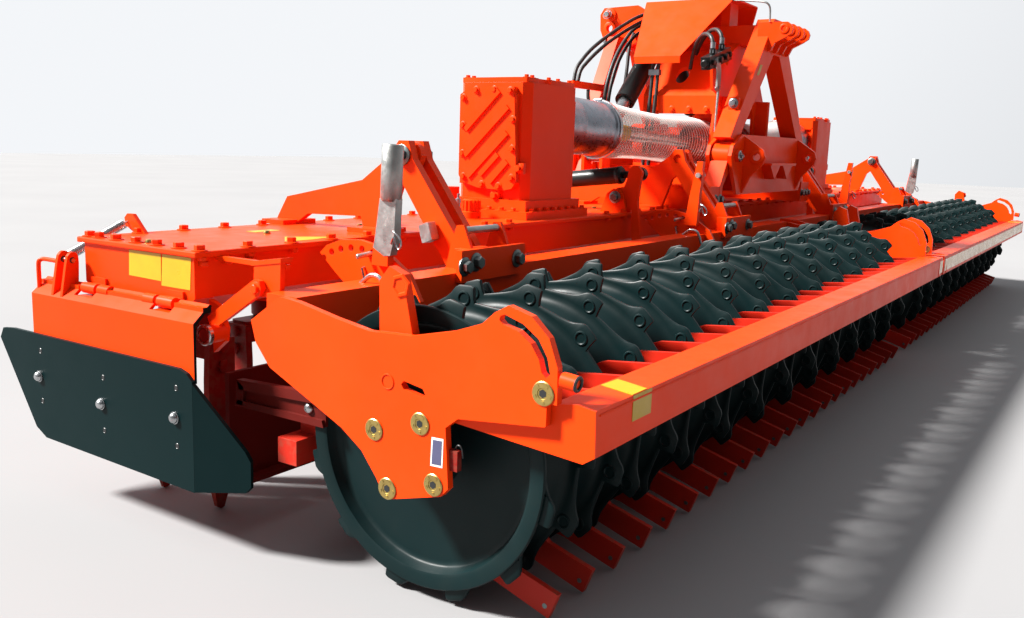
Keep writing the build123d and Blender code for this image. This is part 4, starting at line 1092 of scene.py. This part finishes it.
# soft studio surround: pale towards the right and front, dimmer behind the machine
world = bpy.data.worlds.new("world")
bpy.context.scene.world = world
world.use_nodes = True
wn = world.node_tree
wt = wn.nodes.new("ShaderNodeTexCoord")
wd = wn.nodes.new("ShaderNodeVectorMath")
wd.operation = "DOT_PRODUCT"
wd.inputs[1].default_value = Vector((0.50, 0.72, 0.48)).normalized()
wn.links.new(wt.outputs["Generated"], wd.inputs[0])
wn.links.new(span(wn, wd.outputs["Value"], -0.55, 0.75, 0.13, 0.95), wn.nodes["Background"].inputs["Strength"])
wn.nodes["Background"].inputs["Color"].default_value = (0.95, 0.97, 1.0, 1)

sun = bpy.data.lights.new("key", "SUN")
sun.energy = 15.0
sun.angle = math.radians(9)
sun.color = (1.0, 0.975, 0.94)
so = bpy.data.objects.new("key", sun)
bpy.context.scene.collection.objects.link(so)
so.matrix_world = Vector((-0.44, 0.60, 0.66)).to_track_quat("Z", "Y").to_matrix().to_4x4()

build_buckets()


def loose(name, mat, parts):
    """mesh with no parent, from (verts, faces) already in metres"""
    vs, fs = [], []
    for v, f in parts:
        k = len(vs)
        vs.extend(v)
        fs.extend([tuple(i + k for i in x) for x in f])
    me = bpy.data.meshes.new(name)
    me.from_pydata([tuple(v) for v in vs], [], fs)
    me.validate()
    me.polygons.foreach_set("use_smooth", [True] * len(me.polygons))
    me.set_sharp_from_angle(angle=math.radians(50))
    me.materials.append(M[mat])
    ob = bpy.data.objects.new(name, me)
    bpy.context.scene.collection.objects.link(ob)
    return ob


def shaft(side, s):
    """ribbed clear guard between two metal bells, telescopic shaft inside"""
    A, B = Vector((s * 130, 640, 855)), Vector((s * 1249.5, 728.5, 905))
    L = (A - B).length
    axis = (A - B).normalized()
    mm = frame_at(P(*B), axis)
    prof = []
    k = 0
    d0, d1, pitch = 224.0, L - 74.0, 21.0
    while d0 + k * pitch < d1:
        t = k * pitch / (d1 - d0)
        r = 101 - 13 * math.sin(math.pi * min(1.0, 1.15 * t)) if t < 0.87 else 101 - 13 * math.sin(math.pi * 1.0) - 3 * (t - 0.87) / 0.13
        prof += [(r + 6.0 * math.sin(math.pi * q) ** 2, d0 + (k + q) * pitch) for q in (0.0, 0.14, 0.28, 0.42, 0.58, 0.72, 0.86)]
        k += 1
    v, f = lathe(prof, 56)
    guard = loose("guard_tube_" + side, "guard", [(local(v, mm), f)])
    inner = [lathe([(0, 70), (30, 70), (30, 560), (25, 562), (25, L - 60), (0, L - 60)], 28),
             lathe([(0, 40), (44, 40), (44, 62), (38, 74), (30, 78)], 28), lathe([(25, L - 88), (38, L - 82), (44, L - 66), (44, L - 40), (0, L - 40)], 28)]
    core = loose("shaft_" + side, "steel", [(local(v, mm), f) for v, f in inner])
    v, f = lathe([(30.4, 250), (31.2, 250), (31.2, 420), (30.4, 420)], 28)
    band = loose("shaft_label_" + side, "yellow", [(local(v, mm), f)])
    for ob in (guard, core, band):
        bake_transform(ob)
    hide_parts("drive_shaft_" + side)


for sd, s in SIDES:
    shaft(sd, s)


def spring(side, s):
    a, b = P(s * 3024, 954, 548), P(s * 2860, 954, 622)
    n, per = 34, 10
    axis = (b - a)
    mm = frame_at(a, axis)
    L = axis.length * 1000
    verts, faces = [], []
    m_ = n * per
    for i in range(m_ + 1):
        t = i / m_
        ang = 2 * math.pi * n * t
        c = Vector((10 * math.cos(ang), 10 * math.sin(ang), 14 + (L - 28) * t))
        rad = Vector((math.cos(ang), math.sin(ang), 0))
        for j in range(6):
            q = 2 * math.pi * j / 6
            verts.append(mm @ ((c + rad * 1.7 * math.cos(q) + Vector((0, 0, 1)) * 1.7 * math.sin(q)) / 1000.0))
    for i in range(m_):
        for j in range(6):
            k = (j + 1) % 6
            faces.append((i * 6 + j, i * 6 + k, (i + 1) * 6 + k, (i + 1) * 6 + j))
    hooks = [(local(v, mm), f) for v, f in (lathe([(0, -6), (2.2, -6), (2.2, 18), (0, 18)], 10), lathe([(0, L - 18), (2.2, L - 18),
                                                                                                (2.2, L + 6), (0, L + 6)], 10))]
    ob = loose("deflector_spring_" + side, "steel", [(verts, faces)] + hooks)
    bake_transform(ob)


for sd, s in SIDES:
    spring(sd, s)

for body, mat, group, nodes in REPL:
    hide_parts(*nodes)

bpy.context.scene.view_settings.view_transform = "Standard"
